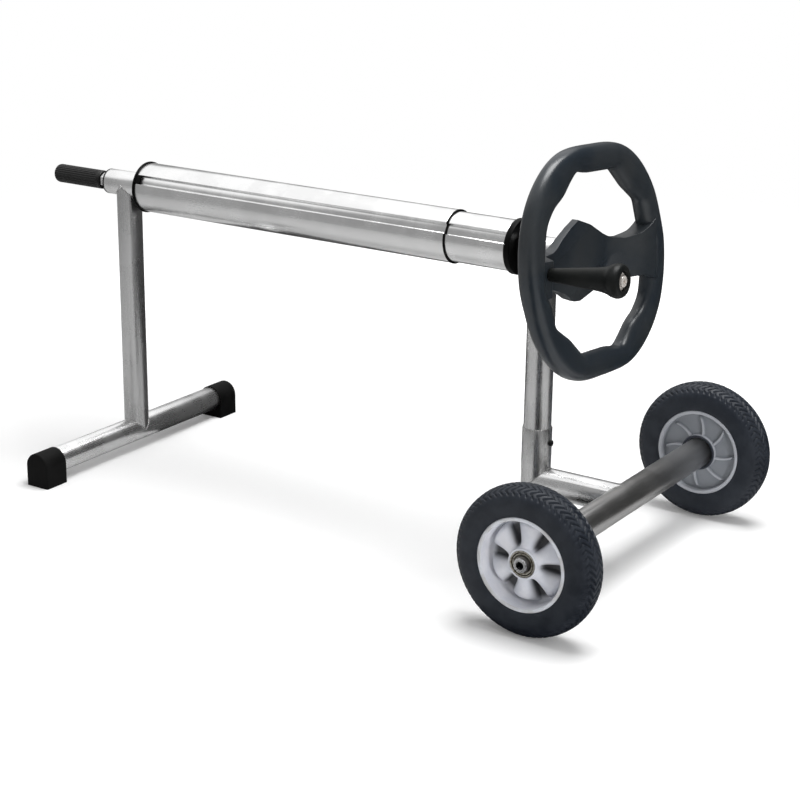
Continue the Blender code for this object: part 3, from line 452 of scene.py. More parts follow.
def soften(bm, width, segments=2, angle=radians(30)):
    """Bevel every edge whose two faces meet at more than the angle."""
    sharp = [edge for edge in bm.edges if edge.is_manifold and edge.calc_face_angle() > angle]
    return bevel(bm, sharp, width, segments)


def extruded(bm, faces, shift):
    """Extrude faces by a shift, and tell which points moved."""
    grown = bmesh.ops.extrude_face_region(bm, geom=faces)["geom"]
    moved = {item for item in grown if isinstance(item, bmesh.types.BMVert)}
    bmesh.ops.translate(bm, vec=shift, verts=list(moved))
    return moved


def bisected(bm, spot, normal, clear_inner=False):
    """Cut a plane into a shape, and clear what lies behind it if asked."""
    bmesh.ops.bisect_plane(
        bm, geom=bm.verts[:] + bm.edges[:] + bm.faces[:], dist=1e-7,
        plane_co=spot, plane_no=normal, clear_inner=clear_inner,
    )


def pipe(axis, start, end, outer, bore, centre=(0, 0, 0), edge=0.0004, steps=FINE):
    """A tube with softened ends."""
    profile = [(start, bore), (start, outer), (end, outer), (end, bore)]
    return soften(turned(axis, profile, centre, steps), edge)


def combined(bm, tool, operation="DIFFERENCE"):
    """Cut a tool from a shape, or join it on, with an exact Boolean."""
    items = []
    for shape in (bm, tool):
        mesh = bpy.data.meshes.new("shape")
        shape.to_mesh(mesh)
        shape.free()
        items.append(linked("shape", mesh))
    modifier = items[0].modifiers.new("boolean", "BOOLEAN")
    modifier.operation = operation
    modifier.solver = "EXACT"
    modifier.object = items[1]
    result = bmesh.new()
    result.from_object(items[0], bpy.context.evaluated_depsgraph_get())
    for item in items:
        bpy.data.objects.remove(item)
    return result


def placed(name, bm, finish):
    """A mesh in the scene with its finish."""
    mesh = bpy.data.meshes.new(name)
    bm.to_mesh(mesh)
    bm.free()
    mesh.shade_smooth()
    mesh.materials.append(FINISHES[finish])
    return linked(name, mesh)


def show(name, bm, finish, body, sharp=32):
    """Show a finished mesh as a piece that rides on a body."""
    piece = placed(name, mended(bm), finish)
    piece.data.set_sharp_from_angle(angle=radians(sharp))
    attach(piece, body)
    print(f"{name}: {len(piece.data.polygons)} faces")
    return piece


def stand_in(node, bm, finish, sharp=32):
    """Show a finer piece in place of one solid of the frame."""
    piece = show(f"{node}_shown", bm, finish, BODY_OF[node], sharp)
    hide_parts(node)


def stand_in_pipe(node, axis, outer, bore, centre, finish, edge=0.0004, steps=FINE):
    """Show a plain tube in place of one solid, from end to end of it."""
    ends = span(node, "XYZ".index(axis))
    stand_in(node, pipe(axis, *ends, outer, bore, centre, edge, steps), finish)


def clamp(share):
    return min(max(share, 0.0), 1.0)


print("tools are ready")

# %% [markdown]
# ## Saddles and weld beads
# Where a tube meets another one square, its end is cut to a saddle. Here the end ring is made at the
# other tube's axis and each of its points is moved back to that tube's side, which a pipe fitter does
# with a hole saw. The weld is a thin ring, rippled as a row of melted drops, bent in the same way.

# %% Shape tube ends and weld beads
END_ZONE = 0.0015
WELD_RIPPLES = 84
WELD_RIPPLE = 0.12


def across_tube(radius):
    """How far the side of a tube lies from its axis, at a place across it."""
    return lambda place: sqrt(max(radius ** 2 - place ** 2, 0))


def mitre_slope(place):
    return place


def fit_end(bm, along, across, centre, side, reach):
    """Move one end ring of a tube to the side of the tube that it meets."""
    for vert in bm.verts:
        if abs(vert.co[along] - centre[along]) < END_ZONE:
            vert.co[along] += side * reach(vert.co[across] - centre[across])


def weld(name, body, axis, across, centre, side, ring_radius, reach, bead=0.0007):
    """A bead of weld round a tube, laid along its saddle or mitre."""
    along = "XYZ".index(axis)
    section = [
        (bead * cos(2 * pi * i / 10), ring_radius + bead * sin(2 * pi * i / 10)) for i in range(10)
    ]
    bm = wrapped(axis, section, centre, 4 * WELD_RIPPLES)
    for vert in bm.verts:
        out = vert.co - Vector(centre)
        height = out[along]
        out[along] = 0
        first, second = (out[i] for i in range(3) if i != along)
        drop = 1 + WELD_RIPPLE * cos(WELD_RIPPLES * atan2(second, first))
        spot = out.normalized() * ring_radius
        vert.co = Vector(centre) + spot + (out - spot) * drop
        vert.co[along] += height * drop + side * reach(spot[across])
    show(name, bm, "weld_metal", body)


print("saddles and welds are ready")

# %% [markdown]
# ## The wheeled stand
# One post carries the roller's bearing sleeve. Its foot plugs into a wider tube, which turns at a
# mitre into the base tube and runs to the axle. The mitre is cut with `bisect_plane`, and the cut
# wall is closed again by bridging its outer and inner edge.

# %% Build the wheeled stand's tubes
SOCKET_WALL = 0.0013
CORNER = Vector((POST.x, 0, AXLE.z))
SADDLE_R = TUBE_R + GAP


def post_tube(x, foot):
    """A post, with its top cut to the sleeve that lies across it."""
    bm = pipe("Z", foot, AXIS.z, TUBE_R, TUBE_BORE, (x, 0, 0))
    fit_end(bm, 2, 1, AXIS, -1, across_tube(SADDLE_R))
    return bm


def mitred(bm, keep):
    """Cut a tube on the mitre plane, keep one side, and close the cut wall."""
    normal = Vector((-1, 0, 1)).normalized() * keep
    bisected(bm, CORNER + normal * GAP / 2, normal, clear_inner=True)
    bmesh.ops.bridge_loops(bm, edges=[edge for edge in bm.edges if edge.is_boundary])
    return bm


def build_corner():
    bore = SOCKET_R - SOCKET_WALL
    top, foot = high("post_socket").z, AXLE.z - 2 * SOCKET_R
    upright = pipe("Z", foot, top, SOCKET_R, bore, (POST.x, 0, 0), 0.0006)
    stand_in("post_socket", mitred(upright, 1), "steel_painted_shade_by_axis_Z")
    base = pipe("X", POST.x - 2 * SOCKET_R, AXLE.x, SOCKET_R, bore, (0, 0, AXLE.z))
    fit_end(base, 0, 2, AXLE, -1, across_tube(SOCKET_R + GAP))
    stand_in("base_tube", mitred(base, -1), "steel_painted_shade_by_axis_X")


stand_in("right_post", post_tube(POST.x, low("right_post").z), "steel_painted_shade_by_axis_Z")
build_corner()
weld("mitre_weld", "wheel_stand", "Z", 0, CORNER, 1, SOCKET_R, mitre_slope, 0.0008)
weld("axle_weld", "wheel_stand", "X", 2, AXLE, -1, SOCKET_R, across_tube(SOCKET_R))

# %% [markdown]
# ## Bearing sleeves and bushes
# A short tube is welded across each post's top. Two flanged nylon bushes are pressed into its ends,
# and the shaft turns in them. Only the flanges show, as thin black rings.

# %% Build the sleeves and bushes
BUSH_FLANGE = 0.0025
BUSH_LENGTH = 0.016


def build_sleeve(side, post):
    node = f"{side}_sleeve"
    stand_in_pipe(node, "X", TUBE_R, TUBE_BORE, AXIS, "steel_painted_shade_by_axis_X", 0.0005)
    at = (post.x, 0, AXIS.z)
    weld(f"{side}_sleeve_weld", BODY_OF[node], "Z", 1, at, -1, TUBE_R, across_tube(TUBE_R))
    for place in ("inner", "outer"):
        bush = f"{side}_bush_{place}"
        out = 1 if middle(bush).x > middle(node).x else -1
        seat = span(node)[out > 0]
        profile = [
            (-BUSH_LENGTH, SHAFT_BORE), (-BUSH_LENGTH, TUBE_BORE - GAP), (GAP, TUBE_BORE - GAP),
            (GAP, TUBE_R), (GAP + BUSH_FLANGE, TUBE_R), (GAP + BUSH_FLANGE, SHAFT_BORE),
        ]
        bm = turned("X", placed_at(seat, profile, out), AXIS)
        stand_in(bush, soften(bm, 0.0005), "bush_nylon")


build_sleeve("left", FOOT_POST)
build_sleeve("right", POST)

# %% [markdown]
# ## Screws and bolts
# Every fastener here has a round head with a six-sided socket for a key. The head is turned and
# softened, and the socket is cut with a six-sided prism, which is the same spin with six steps.

# %% Build the screw in the post and the axle's ends
AXLE_BOLT_R = 0.0072
AXLE_KEY_DEPTH = 0.0045
AXLE_WALL = 0.0022
WASHER_BORE_R = 0.0076
POST_SCREW_R = 0.0030
POST_SCREW_HEAD_R = 0.0042
POST_SCREW_KEY = (0.0021, 0.0014)


def socket_screw(axis, stretches, key, key_depth, centre, edge, side=1):
    """A screw turned from (start, end, radius) stretches, with a key socket in its last face."""
    profile = [(stretches[0][0], 0)]
    for start, end, radius in stretches:
        profile += [(start, radius), (end, radius)]
    top = stretches[-1][1]
    profile.append((top, 0))
    bm = turned(axis, placed_at(0, profile, side), centre, 64, closed=False)
    socket = rod(axis, side * (top - key_depth), side * (top + key_depth), key, centre, 6)
    return combined(soften(bm, edge, 3), socket)


def build_post_screw():
    face = POST.x + SOCKET_R + GAP
    tip, top = span("post_screw")
    stretches = [(tip, face, POST_SCREW_R), (face, top, POST_SCREW_HEAD_R)]
    centre = (0, 0, middle("post_screw").z)
    bm = socket_screw("X", stretches, *POST_SCREW_KEY, centre, 0.0010)
    stand_in("post_screw", bm, "black_oxide_steel")


def build_axle_end(name, side):
    bolt, washer = f"axle_bolt_{name}", f"axle_washer_{name}"
    tip, head = sorted(abs(place) for place in span(bolt, 1))
    face = max(abs(place) for place in span(washer, 1)) + GAP
    stretches = [(tip, face, AXLE_BOLT_R), (face, head, extent(bolt).x / 2)]
    bm = socket_screw("Y", stretches, KEY_R, AXLE_KEY_DEPTH, AXLE, 0.0018, side)
    stand_in(bolt, bm, "axle_bolt_plating")
    radius = extent(washer).x / 2
    stand_in_pipe(washer, "Y", radius, WASHER_BORE_R, AXLE, "aged_plated_steel", steps=64)


build_post_screw()
stand_in_pipe("axle_tube", "Y", SOCKET_R, SOCKET_R - AXLE_WALL, AXLE, "axle_metal")
for name, side in SIDE_OF.items():
    build_axle_end(name, side)

# %% [markdown]
# ## The T stand
# The other post stands on a foot tube, with a rubber cap on each end. A cap has a flat sole and a
# round top. Its outline starts as a half circle, spun from one point, and two corners close it on the
# floor. It is then extruded, its outer end is rounded, and the tube's seat is bored.

# %% Build the T stand
CAP_END_WALL = 0.005


def build_left_post():
    bm = post_tube(FOOT_POST.x, FOOT.z)
    fit_end(bm, 2, 0, FOOT, 1, across_tube(SADDLE_R))
    stand_in("left_post", bm, "steel_painted_shade_by_axis_Z")
    weld("foot_weld", "left_stand", "Z", 0, FOOT, 1, TUBE_R, across_tube(TUBE_R))


def build_foot_cap(name, side):
    node = f"foot_cap_{name}"
    half = extent(node).x / 2
    length = side * extent(node).y
    outer = span(node, 1)[side > 0]
    bm = bmesh.new()
    start = bm.verts.new((half, 0, 0))
    bmesh.ops.spin(
        bm, geom=[start], cent=(0, 0, 0), axis=(0, -1, 0), dvec=(0, 0, 0), angle=pi, steps=40,
    )
    for x in (-half, half):
        bm.verts.new((x, 0, -FOOT.z))
    outline = sorted(bm.verts, key=lambda vert: atan2(vert.co.z + half / 2, vert.co.x))
    ring = extruded(bm, [bm.faces.new(outline)], (0, length, 0))
    bmesh.ops.recalc_face_normals(bm, faces=bm.faces)
    above = {vert for vert in ring if vert.co.z > half - FOOT.z}
    edges = [edge for edge in bm.edges if ring.issuperset(edge.verts) and above & set(edge.verts)]
    bevel(bm, edges, 0.003, 5, clamp_overlap=False)
    mouth = outer - length
    shifted(bm, FOOT + Vector((0, mouth, 0)))
    bore = rod("Y", mouth - side * 0.01, outer - side * CAP_END_WALL, SADDLE_R, FOOT)
    stand_in(node, combined(bm, bore), "foot_rubber")


build_left_post()
stand_in_pipe("foot_tube", "Y", TUBE_R, TUBE_BORE, FOOT, "steel_painted_shade_by_axis_Y")
for name, side in SIDE_OF.items():
    build_foot_cap(name, side)

# %% [markdown]
# ## The tyres
# The wheels carry solid rubber tyres with a smooth sidewall and a fine zigzag tread that runs over
# the shoulder. Half of the section is a smooth line through a few points. It is mirrored and wrapped
# round the axle in many steps, so that the tread can be pressed in by moving points.

# %% Build the tyres
WHEEL_R = extent("front_tyre").z / 2
TYRE_HALF = extent("front_tyre").y / 2
TYRE_SEAT_R = 0.0593
TYRE_BEAD_R = 0.0628
TREAD_PITCHES = 66
TREAD_ROW = 0.0080
TREAD_DEPTH = 0.0019
TREAD_SLANT = 1.1
TREAD_START_R = 0.0895
TREAD_FADE = 0.003
TYRE_STEPS = 10 * TREAD_PITCHES


def smooth_line(points, pieces):
    """More points on a smooth line through a few of them."""
    ends = [points[0]] + list(points) + [points[-1]]
    line = []
    for before, one, two, after in zip(ends, ends[1:], ends[2:], ends[3:]):
        for i in range(pieces):
            t = i / pieces
            line.append(tuple(
                0.5 * (
                    2 * b + (c - a) * t + (2 * a - 5 * b + 4 * c - d) * t ** 2
                    + (3 * b - a - 3 * c + d) * t ** 3
                )
                for a, b, c, d in zip(before, one, two, after)
            ))
    return line + [points[-1]]


def from_whole(number):
    """How far a number lies from the nearest whole one."""
    return abs(number - floor(number + 0.5))


def tread_groove(turn, across):
    """0 on a tread block and 1 in the groove between two, at a place on the tread."""
    zigzag = from_whole(across / TREAD_ROW / 2) * 2
    phase = turn * TREAD_PITCHES / (2 * pi) + zigzag * TREAD_SLANT
    off = abs(phase - floor(phase) - 0.5) * 2
    return clamp((0.44 - off) / 0.20)


def build_tyre(name):
    node = f"{name}_tyre"
    wall = smooth_line(placed_at(TYRE_HALF, [
        (-0.0015, TYRE_BEAD_R), (-0.0003, 0.0680), (0, 0.0790), (-0.0012, 0.0870), (-0.0045, 0.0935),
    ]), 5)
    tread = smooth_line(placed_at(TYRE_HALF, [
        (-0.0045, 0.0935), (-0.0105, 0.0978), (-0.0165, 0.0994), (-TYRE_HALF, WHEEL_R),
    ]), 9)
    bead = placed_at(TYRE_HALF, [
        (-0.0058, TYRE_SEAT_R), (-0.0053, TYRE_BEAD_R - 0.0004), (-0.0015, TYRE_BEAD_R - 0.0003),
    ])
    profile = bead + wall[:-1] + tread
    centre = middle(node)
    bm = wrapped("Y", profile + mirrored(profile[:-1]), centre, TYRE_STEPS)
    for vert in bm.verts:
        out = vert.co - centre
        radius = hypot(out.x, out.z)
        worn = clamp((radius - TREAD_START_R) / TREAD_FADE)
        depth = worn * TREAD_DEPTH * tread_groove(atan2(out.z, out.x), out.y)
        vert.co.x -= out.x / radius * depth
        vert.co.z -= out.z / radius * depth
        vert.co.y -= out.y / TYRE_HALF * depth * 0.5
    stand_in(node, bm, "tyre_rubber", 50)


for name in SIDE_OF:
    build_tyre(name)

# %% [markdown]
# ## The rims
# A moulded rim has two faces. Outside, six petals like half cones swell from the hub and end in a
# blunt nose before the barrel. They meet in creases that are deep beside the hub, and the finish
# paints them dark there as painted shade. Inside, eight thin curved ribs stiffen a shallow cone. One
# section is wrapped round the axle, and then the points of the outer web are raised by the petals,
# and those of the inner web by the ribs.

# %% Measure the rims
RIM_R = extent("front_rim").z / 2
RIM_HALF = extent("front_rim").y / 2
RIM_STEPS = 360
LIP = 0.003
LIP_WIDTH = 0.0058
BARREL_R = RIM_R - LIP_WIDTH
HUB_R = 0.0205
HUB_FACE = 0.0165
HUB_BACK = 0.021
RECESS_R = 0.02225
RECESS_DEPTH = 0.009
COLLAR_R = 0.026
BEARING_R = 0.0175
BEARING_WIDTH = 0.011
BEARING_STOP_R = 0.01375
WEB_FLOOR = RIM_HALF - 0.028
WEB_BACK = WEB_FLOOR - 0.005
PETALS = 6
PETAL_PHASE = radians(26.25)
PETAL_ROOT_HALF = 0.0088
PETAL_SPREAD = 0.375
NOSE_AT = 0.0455
NOSE_LENGTH = 0.0080
NOSE_TOP = 0.0085
PETAL_CREST = HUB_FACE - 0.0022
PETAL_FALL = (PETAL_CREST - NOSE_TOP) / (NOSE_AT - HUB_R)
RIBS = 8
RIB_PHASE = radians(12)
RIB_SWIRL = radians(16)
RIB_HEIGHT = 0.0048
RIB_HALF = 0.0021
RIB_FLANK = 0.0008
RIB_END = 0.93
WEB_RINGS = 44


def web_share(radius):
    return clamp((radius - HUB_R) / (BARREL_R - HUB_R))


def web_height(radius):
    """The pocket floor: a wall beside the hub, a flat bottom and a fillet at the barrel."""
    share = web_share(radius)
    drop = (1 - share) ** 9
    fillet = 0.004 * max((share - 0.86) / 0.14, 0.0) ** 2
    return (HUB_FACE - 0.0012) * drop + WEB_FLOOR * (1 - drop) + fillet


def petal_height(radius, angle):
    """A half cone that widens with the radius and ends in a blunt nose."""
    turn = (angle - PETAL_PHASE) * PETALS / (2 * pi)
    half = PETAL_ROOT_HALF + (radius - HUB_R) * PETAL_SPREAD
    aside = from_whole(turn) * 2 * pi / PETALS * radius / half
    along = max(radius - NOSE_AT, 0.0) / NOSE_LENGTH
    top = PETAL_CREST - PETAL_FALL * min(radius - HUB_R, NOSE_AT - HUB_R)
    arch = sqrt(max(1 - aside ** 2, 0.0)) ** 0.85 * sqrt(max(1 - along ** 2, 0.0))
    return max(top - web_height(radius), 0.0) * arch


def inner_web_place(radius):
    """The inner face of the web, a shallow cone."""
    return WEB_BACK - 0.002 * (1 - web_share(radius))


def rib_height(radius, angle):
    share = web_share(radius)
    turn = (angle - RIB_PHASE + RIB_SWIRL * share ** 1.5) * RIBS / (2 * pi)
    aside = from_whole(turn) * 2 * pi / RIBS * radius
    return RIB_HEIGHT * clamp((RIB_HALF - aside) / RIB_FLANK) * clamp((RIB_END - share) * 14)


print("rims:", PETALS, "petals and", RIBS, "ribs")

# %% [markdown]
# The rims are pale grey. Their finish paints shade into them: dark in the pockets between the
# petals, darker on the inner side of each rim, and near black on the collar round the axle's end.
# Depth from the wheel's middle plane and distance from the axle tell where that is.

# %% Make the rims' finish
INNER_SHADE_DEPTHS = (0.0125, 0.0172)
COLLAR_SHADE_DEPTHS = (0.0195, 0.0208)


def rim_plastic(name, wheel_plane):
    finish = Finish(name, {"Specular IOR Level": 0.45})
    x, y, z = finish.parts_of(finish.place(centre=AXLE))
    radius = radius_of(x, z)
    outboard = y.size() - wheel_plane
    inboard = outboard * -1
    clouds = finish.noise(30, 4.0)
    dust = finish.noise(420, 4.0, 0.7)
    pale = finish.mix(clouds.between(0.4, 0.65), (0.62, 0.635, 0.69, 1), (0.74, 0.745, 0.785, 1))
    # Painted shade: darker with depth below the petals' crest, into the pockets.
    crest = PETAL_CREST - (radius - HUB_R) * PETAL_FALL
    below_crest_shade = (crest - outboard + clouds * 0.003).between(0.0025, 0.0150)
    pocket = below_crest_shade * (1 - radius.between(0.0460, 0.0560))
    outside = finish.mix(pocket * 0.96, pale, (0.055, 0.056, 0.060, 1))
    lip = outboard.between(RIM_HALF - 0.0016, RIM_HALF - 0.0006) * radius.between(0.050, 0.052)
    worn = finish.mix(clouds.between(0.40, 0.62), (0.50, 0.50, 0.51, 1), (0.62, 0.64, 0.69, 1))
    outside = finish.mix(lip, outside, worn)
    # Painted shade: the inner side is darker, most on the web between the ribs.
    web = inboard.between(*INNER_SHADE_DEPTHS)
    inside = finish.mix(web, (0.235, 0.25, 0.275, 1), (0.40, 0.415, 0.45, 1))
    # Painted shade: near black on the collar's inner face round the axle's end.
    face = inboard.between(*COLLAR_SHADE_DEPTHS) * (1 - radius.between(0.027, 0.030))
    inside = finish.mix(face, inside, (0.028, 0.034, 0.048, 1))
    colour = finish.mix(inboard.between(0.0070, 0.0085), outside, inside)
    finish.surface(name, colour, clouds * 0.12 + dust * 0.10 + 0.32, dust, 0.00003)


rim_plastic("rim_plastic", abs(middle("front_rim").y))
print("the rims' finish is ready")

# %% Build the rims
def build_rim(name, out):
    """One rim; its outer face looks along out * Y."""
    node = f"{name}_rim"
    rings = [HUB_R + (BARREL_R - HUB_R) * i / WEB_RINGS for i in range(WEB_RINGS + 1)]
    outer_web = [(web_height(r), r) for r in rings]
    inner_web = [(inner_web_place(r), r) for r in reversed(rings) if r > COLLAR_R]
    seat, recess = HUB_FACE - BEARING_WIDTH, RECESS_DEPTH - HUB_BACK
    lip = placed_at(RIM_HALF, [
        (-0.0022, BARREL_R + 0.0003), (-0.0006, BARREL_R + 0.0008), (0, BARREL_R + 0.0018),
        (0, RIM_R - 0.0014), (-0.0005, RIM_R - 0.0004), (-0.0014, RIM_R), (-LIP, RIM_R),
        (-LIP - 0.001, TYRE_SEAT_R - GAP),
    ])
    profile = [
        (seat, BEARING_R + GAP), (HUB_FACE - 0.0006, BEARING_R + GAP),
        (HUB_FACE, BEARING_R + 0.0008), (HUB_FACE, HUB_R - 0.0008), (HUB_FACE - 0.0008, HUB_R),
        *outer_web, *lip, *mirrored(lip), *inner_web,
        (WEB_BACK - 0.003, COLLAR_R), (0.0008 - HUB_BACK, COLLAR_R), (-HUB_BACK, COLLAR_R - 0.0008),
        (-HUB_BACK, RECESS_R + 0.0006), (0.0006 - HUB_BACK, RECESS_R), (recess, RECESS_R),
        (recess, BEARING_R + GAP), (recess + BEARING_WIDTH, BEARING_R + GAP),
        (recess + BEARING_WIDTH, BEARING_STOP_R), (seat, BEARING_STOP_R),
    ]
    centre = middle(node)
    bm = wrapped("Y", placed_at(0, profile, out), centre, RIM_STEPS)
    edge = 1e-5
    for vert in bm.verts:
        place = vert.co - centre
        radius, outboard = hypot(place.x, place.z), place.y * out
        angle = atan2(place.z, -out * place.x)
        if not HUB_R + edge < radius < BARREL_R - edge:
            continue
        if abs(outboard - web_height(radius)) < edge:
            vert.co.y += out * petal_height(radius, angle)
        elif radius > COLLAR_R and abs(outboard - inner_web_place(radius)) < edge:
            vert.co.y -= out * rib_height(radius, angle)
    stand_in(node, bm, "rim_plastic", 45)


for name, side in SIDE_OF.items():
    build_rim(name, side)

# %% [markdown]
# ## The bearings
# A sealed ball bearing shows three rings: the polished outer ring, a pressed shield with a rolled
# edge, and the inner race that stands still on the axle. The balls are hidden behind the shield, so
# the shield is turned as part of the outer ring.

# %% Build the outer bearings
RACE_R = extent("front_race_outer").x / 2
BORE_R = 0.0075


def build_bearing(name, side):
    shell, race = f"{name}_bearing_outer", f"{name}_race_outer"
    inner, face = sorted(abs(place) for place in span(shell, 1))
    profile = [
        (inner - face, RACE_R + GAP), (inner - face, BEARING_R), (0, BEARING_R),
        (0, BEARING_R - 0.0020), (-0.0012, BEARING_R - 0.0023), (-0.0012, BEARING_R - 0.0031),
        (-0.0002, BEARING_R - 0.0036), (-0.0005, RACE_R + 0.0013), (-0.0016, RACE_R + 0.0009),
        (-0.0016, RACE_R + GAP),
    ]
    ring = turned("Y", placed_at(side * face, profile, side), AXLE, 96)
    stand_in(shell, soften(ring, 0.00012), f"{name}_bearing_shield")
    stand_in_pipe(race, "Y", RACE_R, BORE_R, AXLE, "aged_plated_steel", 0.0005, 96)


for name, side in SIDE_OF.items():
    build_bearing(name, side)

# %% [markdown]
# ## The roller tubes
# Both tubes are pressed with one long groove, which keys them and in which the cover's clips slide.
# The outline is a circle, whose points near the groove are drawn in. Two such outlines, outside and
# bore, are bridged to a ring, and the ring is extruded along the roller.

# %% Build the roller tubes
GROOVE_ANGLE = radians(151.5)
GROOVE_WIDTH = 0.0148
GROOVE_DEPTH = 0.0035
ROLLER_STEPS = 120
GROOVE_LIP = 4
ROLLER_WALL = 0.0016


def grooved_circle(bm, x, radius, width):
    """One outline with the groove pressed in, and its edges."""
    made = bmesh.ops.create_circle(bm, segments=ROLLER_STEPS, radius=1.0, cap_ends=False)["verts"]
    lip = atan2(width / 2, radius)
    floor_half = atan2((width - GROOVE_DEPTH) / 2, radius - GROOVE_DEPTH)
    for vert in made:
        turn = atan2(vert.co.y, vert.co.x)
        place = abs(round(turn * ROLLER_STEPS / (2 * pi)))
        if place < GROOVE_LIP:
            off, reach = floor_half * place / (GROOVE_LIP - 1), radius - GROOVE_DEPTH
        else:
            share = (place - GROOVE_LIP) / (ROLLER_STEPS / 2 - GROOVE_LIP)
            off, reach = lip + (pi - lip) * share, radius
        angle = GROOVE_ANGLE + (off if turn > 0 else -off)
        vert.co = (x, reach * cos(angle), AXIS.z + reach * sin(angle))
    return list({edge for vert in made for edge in vert.link_edges})


def grooved_tube(start, end, outer, outer_width, bore, bore_width, edge=0.0006):
    bm = bmesh.new()
    rings = grooved_circle(bm, start, outer, outer_width)
    rings += grooved_circle(bm, start, bore, bore_width)
    extruded(bm, bmesh.ops.bridge_loops(bm, edges=rings)["faces"], (end - start, 0, 0))
    return soften(mended(bm), edge)


def build_roller_tube(node, radius, width):
    sizes = radius, width, radius - ROLLER_WALL, width + ROLLER_WALL
    stand_in(node, grooved_tube(*span(node), *sizes), "roller_metal")


OUTER_R = 0.0370
INNER_R = 0.0350
SEAM_R = 0.0376
build_roller_tube("outer_tube", OUTER_R, GROOVE_WIDTH)
build_roller_tube("inner_tube", INNER_R, GROOVE_WIDTH + ROLLER_WALL)
seam_sizes = SEAM_R, GROOVE_WIDTH + 0.0008, INNER_R + GAP, GROOVE_WIDTH, 0.0004
stand_in("seam_ring", grooved_tube(*span("seam_ring"), *seam_sizes), "black_cap_plastic")

# %% [markdown]
# ## The end caps
# A black moulded cap closes each end of the roller and carries its shaft. The left one has a thin
# flange, a spacer boss, and a tab that fills the groove's mouth. The right one is a thick ring.

# %% Build the end caps
CAP_BOSS_R = 0.018
CAP_PLUG_R = 0.0300
CAP_PLUG_DEPTH = 0.024
CAP_STEP = 0.003
TAB_LENGTH = 0.007


def groove_tab(start, end):
    """The block that fills the groove, narrower at the groove's floor."""
    bm = bmesh.new()
    bmesh.ops.create_cube(bm, size=1.0)
    for vert in bm.verts:
        at_lip = vert.co.z > 0
        across = GROOVE_WIDTH / 2 - 2 * GAP - (0 if at_lip else GROOVE_DEPTH / 2)
        out = OUTER_R - GAP if at_lip else OUTER_R - GROOVE_DEPTH + GAP
        vert.co = (end if vert.co.x > 0 else start, across if vert.co.y > 0 else -across, out)
    soften(bm, 0.0006, 3)
    turn = Matrix.Rotation(GROOVE_ANGLE - pi / 2, 4, "X")
    bmesh.ops.transform(bm, matrix=Matrix.Translation(AXIS) @ turn, verts=bm.verts)
    return bm


def cap_body(node, tube_end, face, out):
    """A cap: a boss at its tip, the flange from the face to the tube, and the plug in the tube."""
    tip = span(node)[out > 0]
    seat, plug = tube_end + out * GAP, tube_end - out * CAP_PLUG_DEPTH
    flange_r = extent(node).y / 2
    return turned("X", [
        (tip, SHAFT_BORE), (tip, CAP_BOSS_R), (face, CAP_BOSS_R), (face, flange_r),
        (seat, flange_r), (seat, CAP_PLUG_R), (plug, CAP_PLUG_R), (plug, SHAFT_BORE),
    ], AXIS)


seat = low("outer_tube").x - GAP
cap = soften(cap_body("left_end_cap", low("outer_tube").x, seat - CAP_STEP, -1), 0.0007, 3)
cap = combined(cap, groove_tab(seat - 0.001, seat + TAB_LENGTH), "UNION")
stand_in("left_end_cap", cap, "black_cap_plastic")
face = high("right_end_cap").x - CAP_STEP
cap = soften(cap_body("right_end_cap", high("inner_tube").x, face, 1), 0.0010, 4)
stand_in("right_end_cap", cap, "black_cap_plastic")

# %% [markdown]
# ## The lock nut and the grip
# The nut is a six-sided prism crossed with a turned barrel, which gives the curved chamfers that a
# real nut has at its corners. The grip is moulded rubber with lengthwise ribs and a domed end, and
# its mouth leaves the nut free.

# %% Build the lock nut and the grip
NUT_FLATS = 0.0205
NUT_EXTRA = 0.0022
GRIP_R = 0.0143
GRIP_MOUTH_R = 0.0139
GRIP_RIBS = 26
GRIP_RIB_DEPTH = 0.0008
GRIP_SMOOTH_R = 0.0095
STUD_R = 0.006


def hex_nut(start, end, flats, bore, centre):
    corner = flats / sqrt(3)
    chamfer = 0.0011
    prism = rod("X", start, end, corner, centre, 6)
    turn = Matrix.Rotation(radians(30), 3, "X")
    bmesh.ops.rotate(prism, cent=centre, matrix=turn, verts=prism.verts)
    barrel = turned("X", [
        (start, 0), (start, flats / 2 * 0.97), (start + chamfer, corner + 0.0001),
        (end - chamfer, corner + 0.0001), (end, flats / 2 * 0.97), (end, 0),
    ], centre, 96, closed=False)
    drill = rod("X", start - 1e-3, end + 1e-3, bore, centre, 48)
    return combined(combined(prism, barrel, "INTERSECT"), drill)


def build_grip():
    start, end = low("grip").x, high("grip").x - NUT_EXTRA
    dome = smooth_line(placed_at(start, [
        (0, 0.0001), (0.0001, 0.0068), (0.0009, 0.0108), (0.0030, 0.0134), (0.0065, GRIP_R),
        (0.0120, GRIP_R),
    ]), 5)
    long_part = [(start + 0.012 + (end - start - 0.024) * i / 24, GRIP_R) for i in range(1, 25)]
    mouth = smooth_line(placed_at(end, [
        (-0.0110, GRIP_R), (-0.0040, GRIP_R), (-0.0012, GRIP_MOUTH_R), (0, GRIP_MOUTH_R - 0.0012),
    ]), 5)
    bore = [(end, STUD_R + GAP), (start + 0.008, STUD_R + GAP), (start + 0.008, 0)]
    profile = [(start, 0), *dome, *long_part, *mouth, *bore]
    bm = wrapped("X", profile, AXIS, 8 * GRIP_RIBS, closed=False)
    for vert in bm.verts:
        out = vert.co - Vector((vert.co.x, 0, AXIS.z))
        ramp = min((vert.co.x - start) / 0.006, (end - 0.004 - vert.co.x) / 0.004, 1.0)
        if out.length > GRIP_SMOOTH_R and ramp > 0:
            wave = (0.5 - 0.5 * cos(GRIP_RIBS * atan2(out.z, out.y))) ** 1.6
            vert.co -= out.normalized() * GRIP_RIB_DEPTH * wave * ramp
    stand_in("grip", bm, "grip_rubber", 50)


nut_ends = low("lock_nut").x - NUT_EXTRA, high("lock_nut").x
stand_in("lock_nut", hex_nut(*nut_ends, NUT_FLATS, STUD_R + GAP, AXIS), "nut_plating", 25)
build_grip()

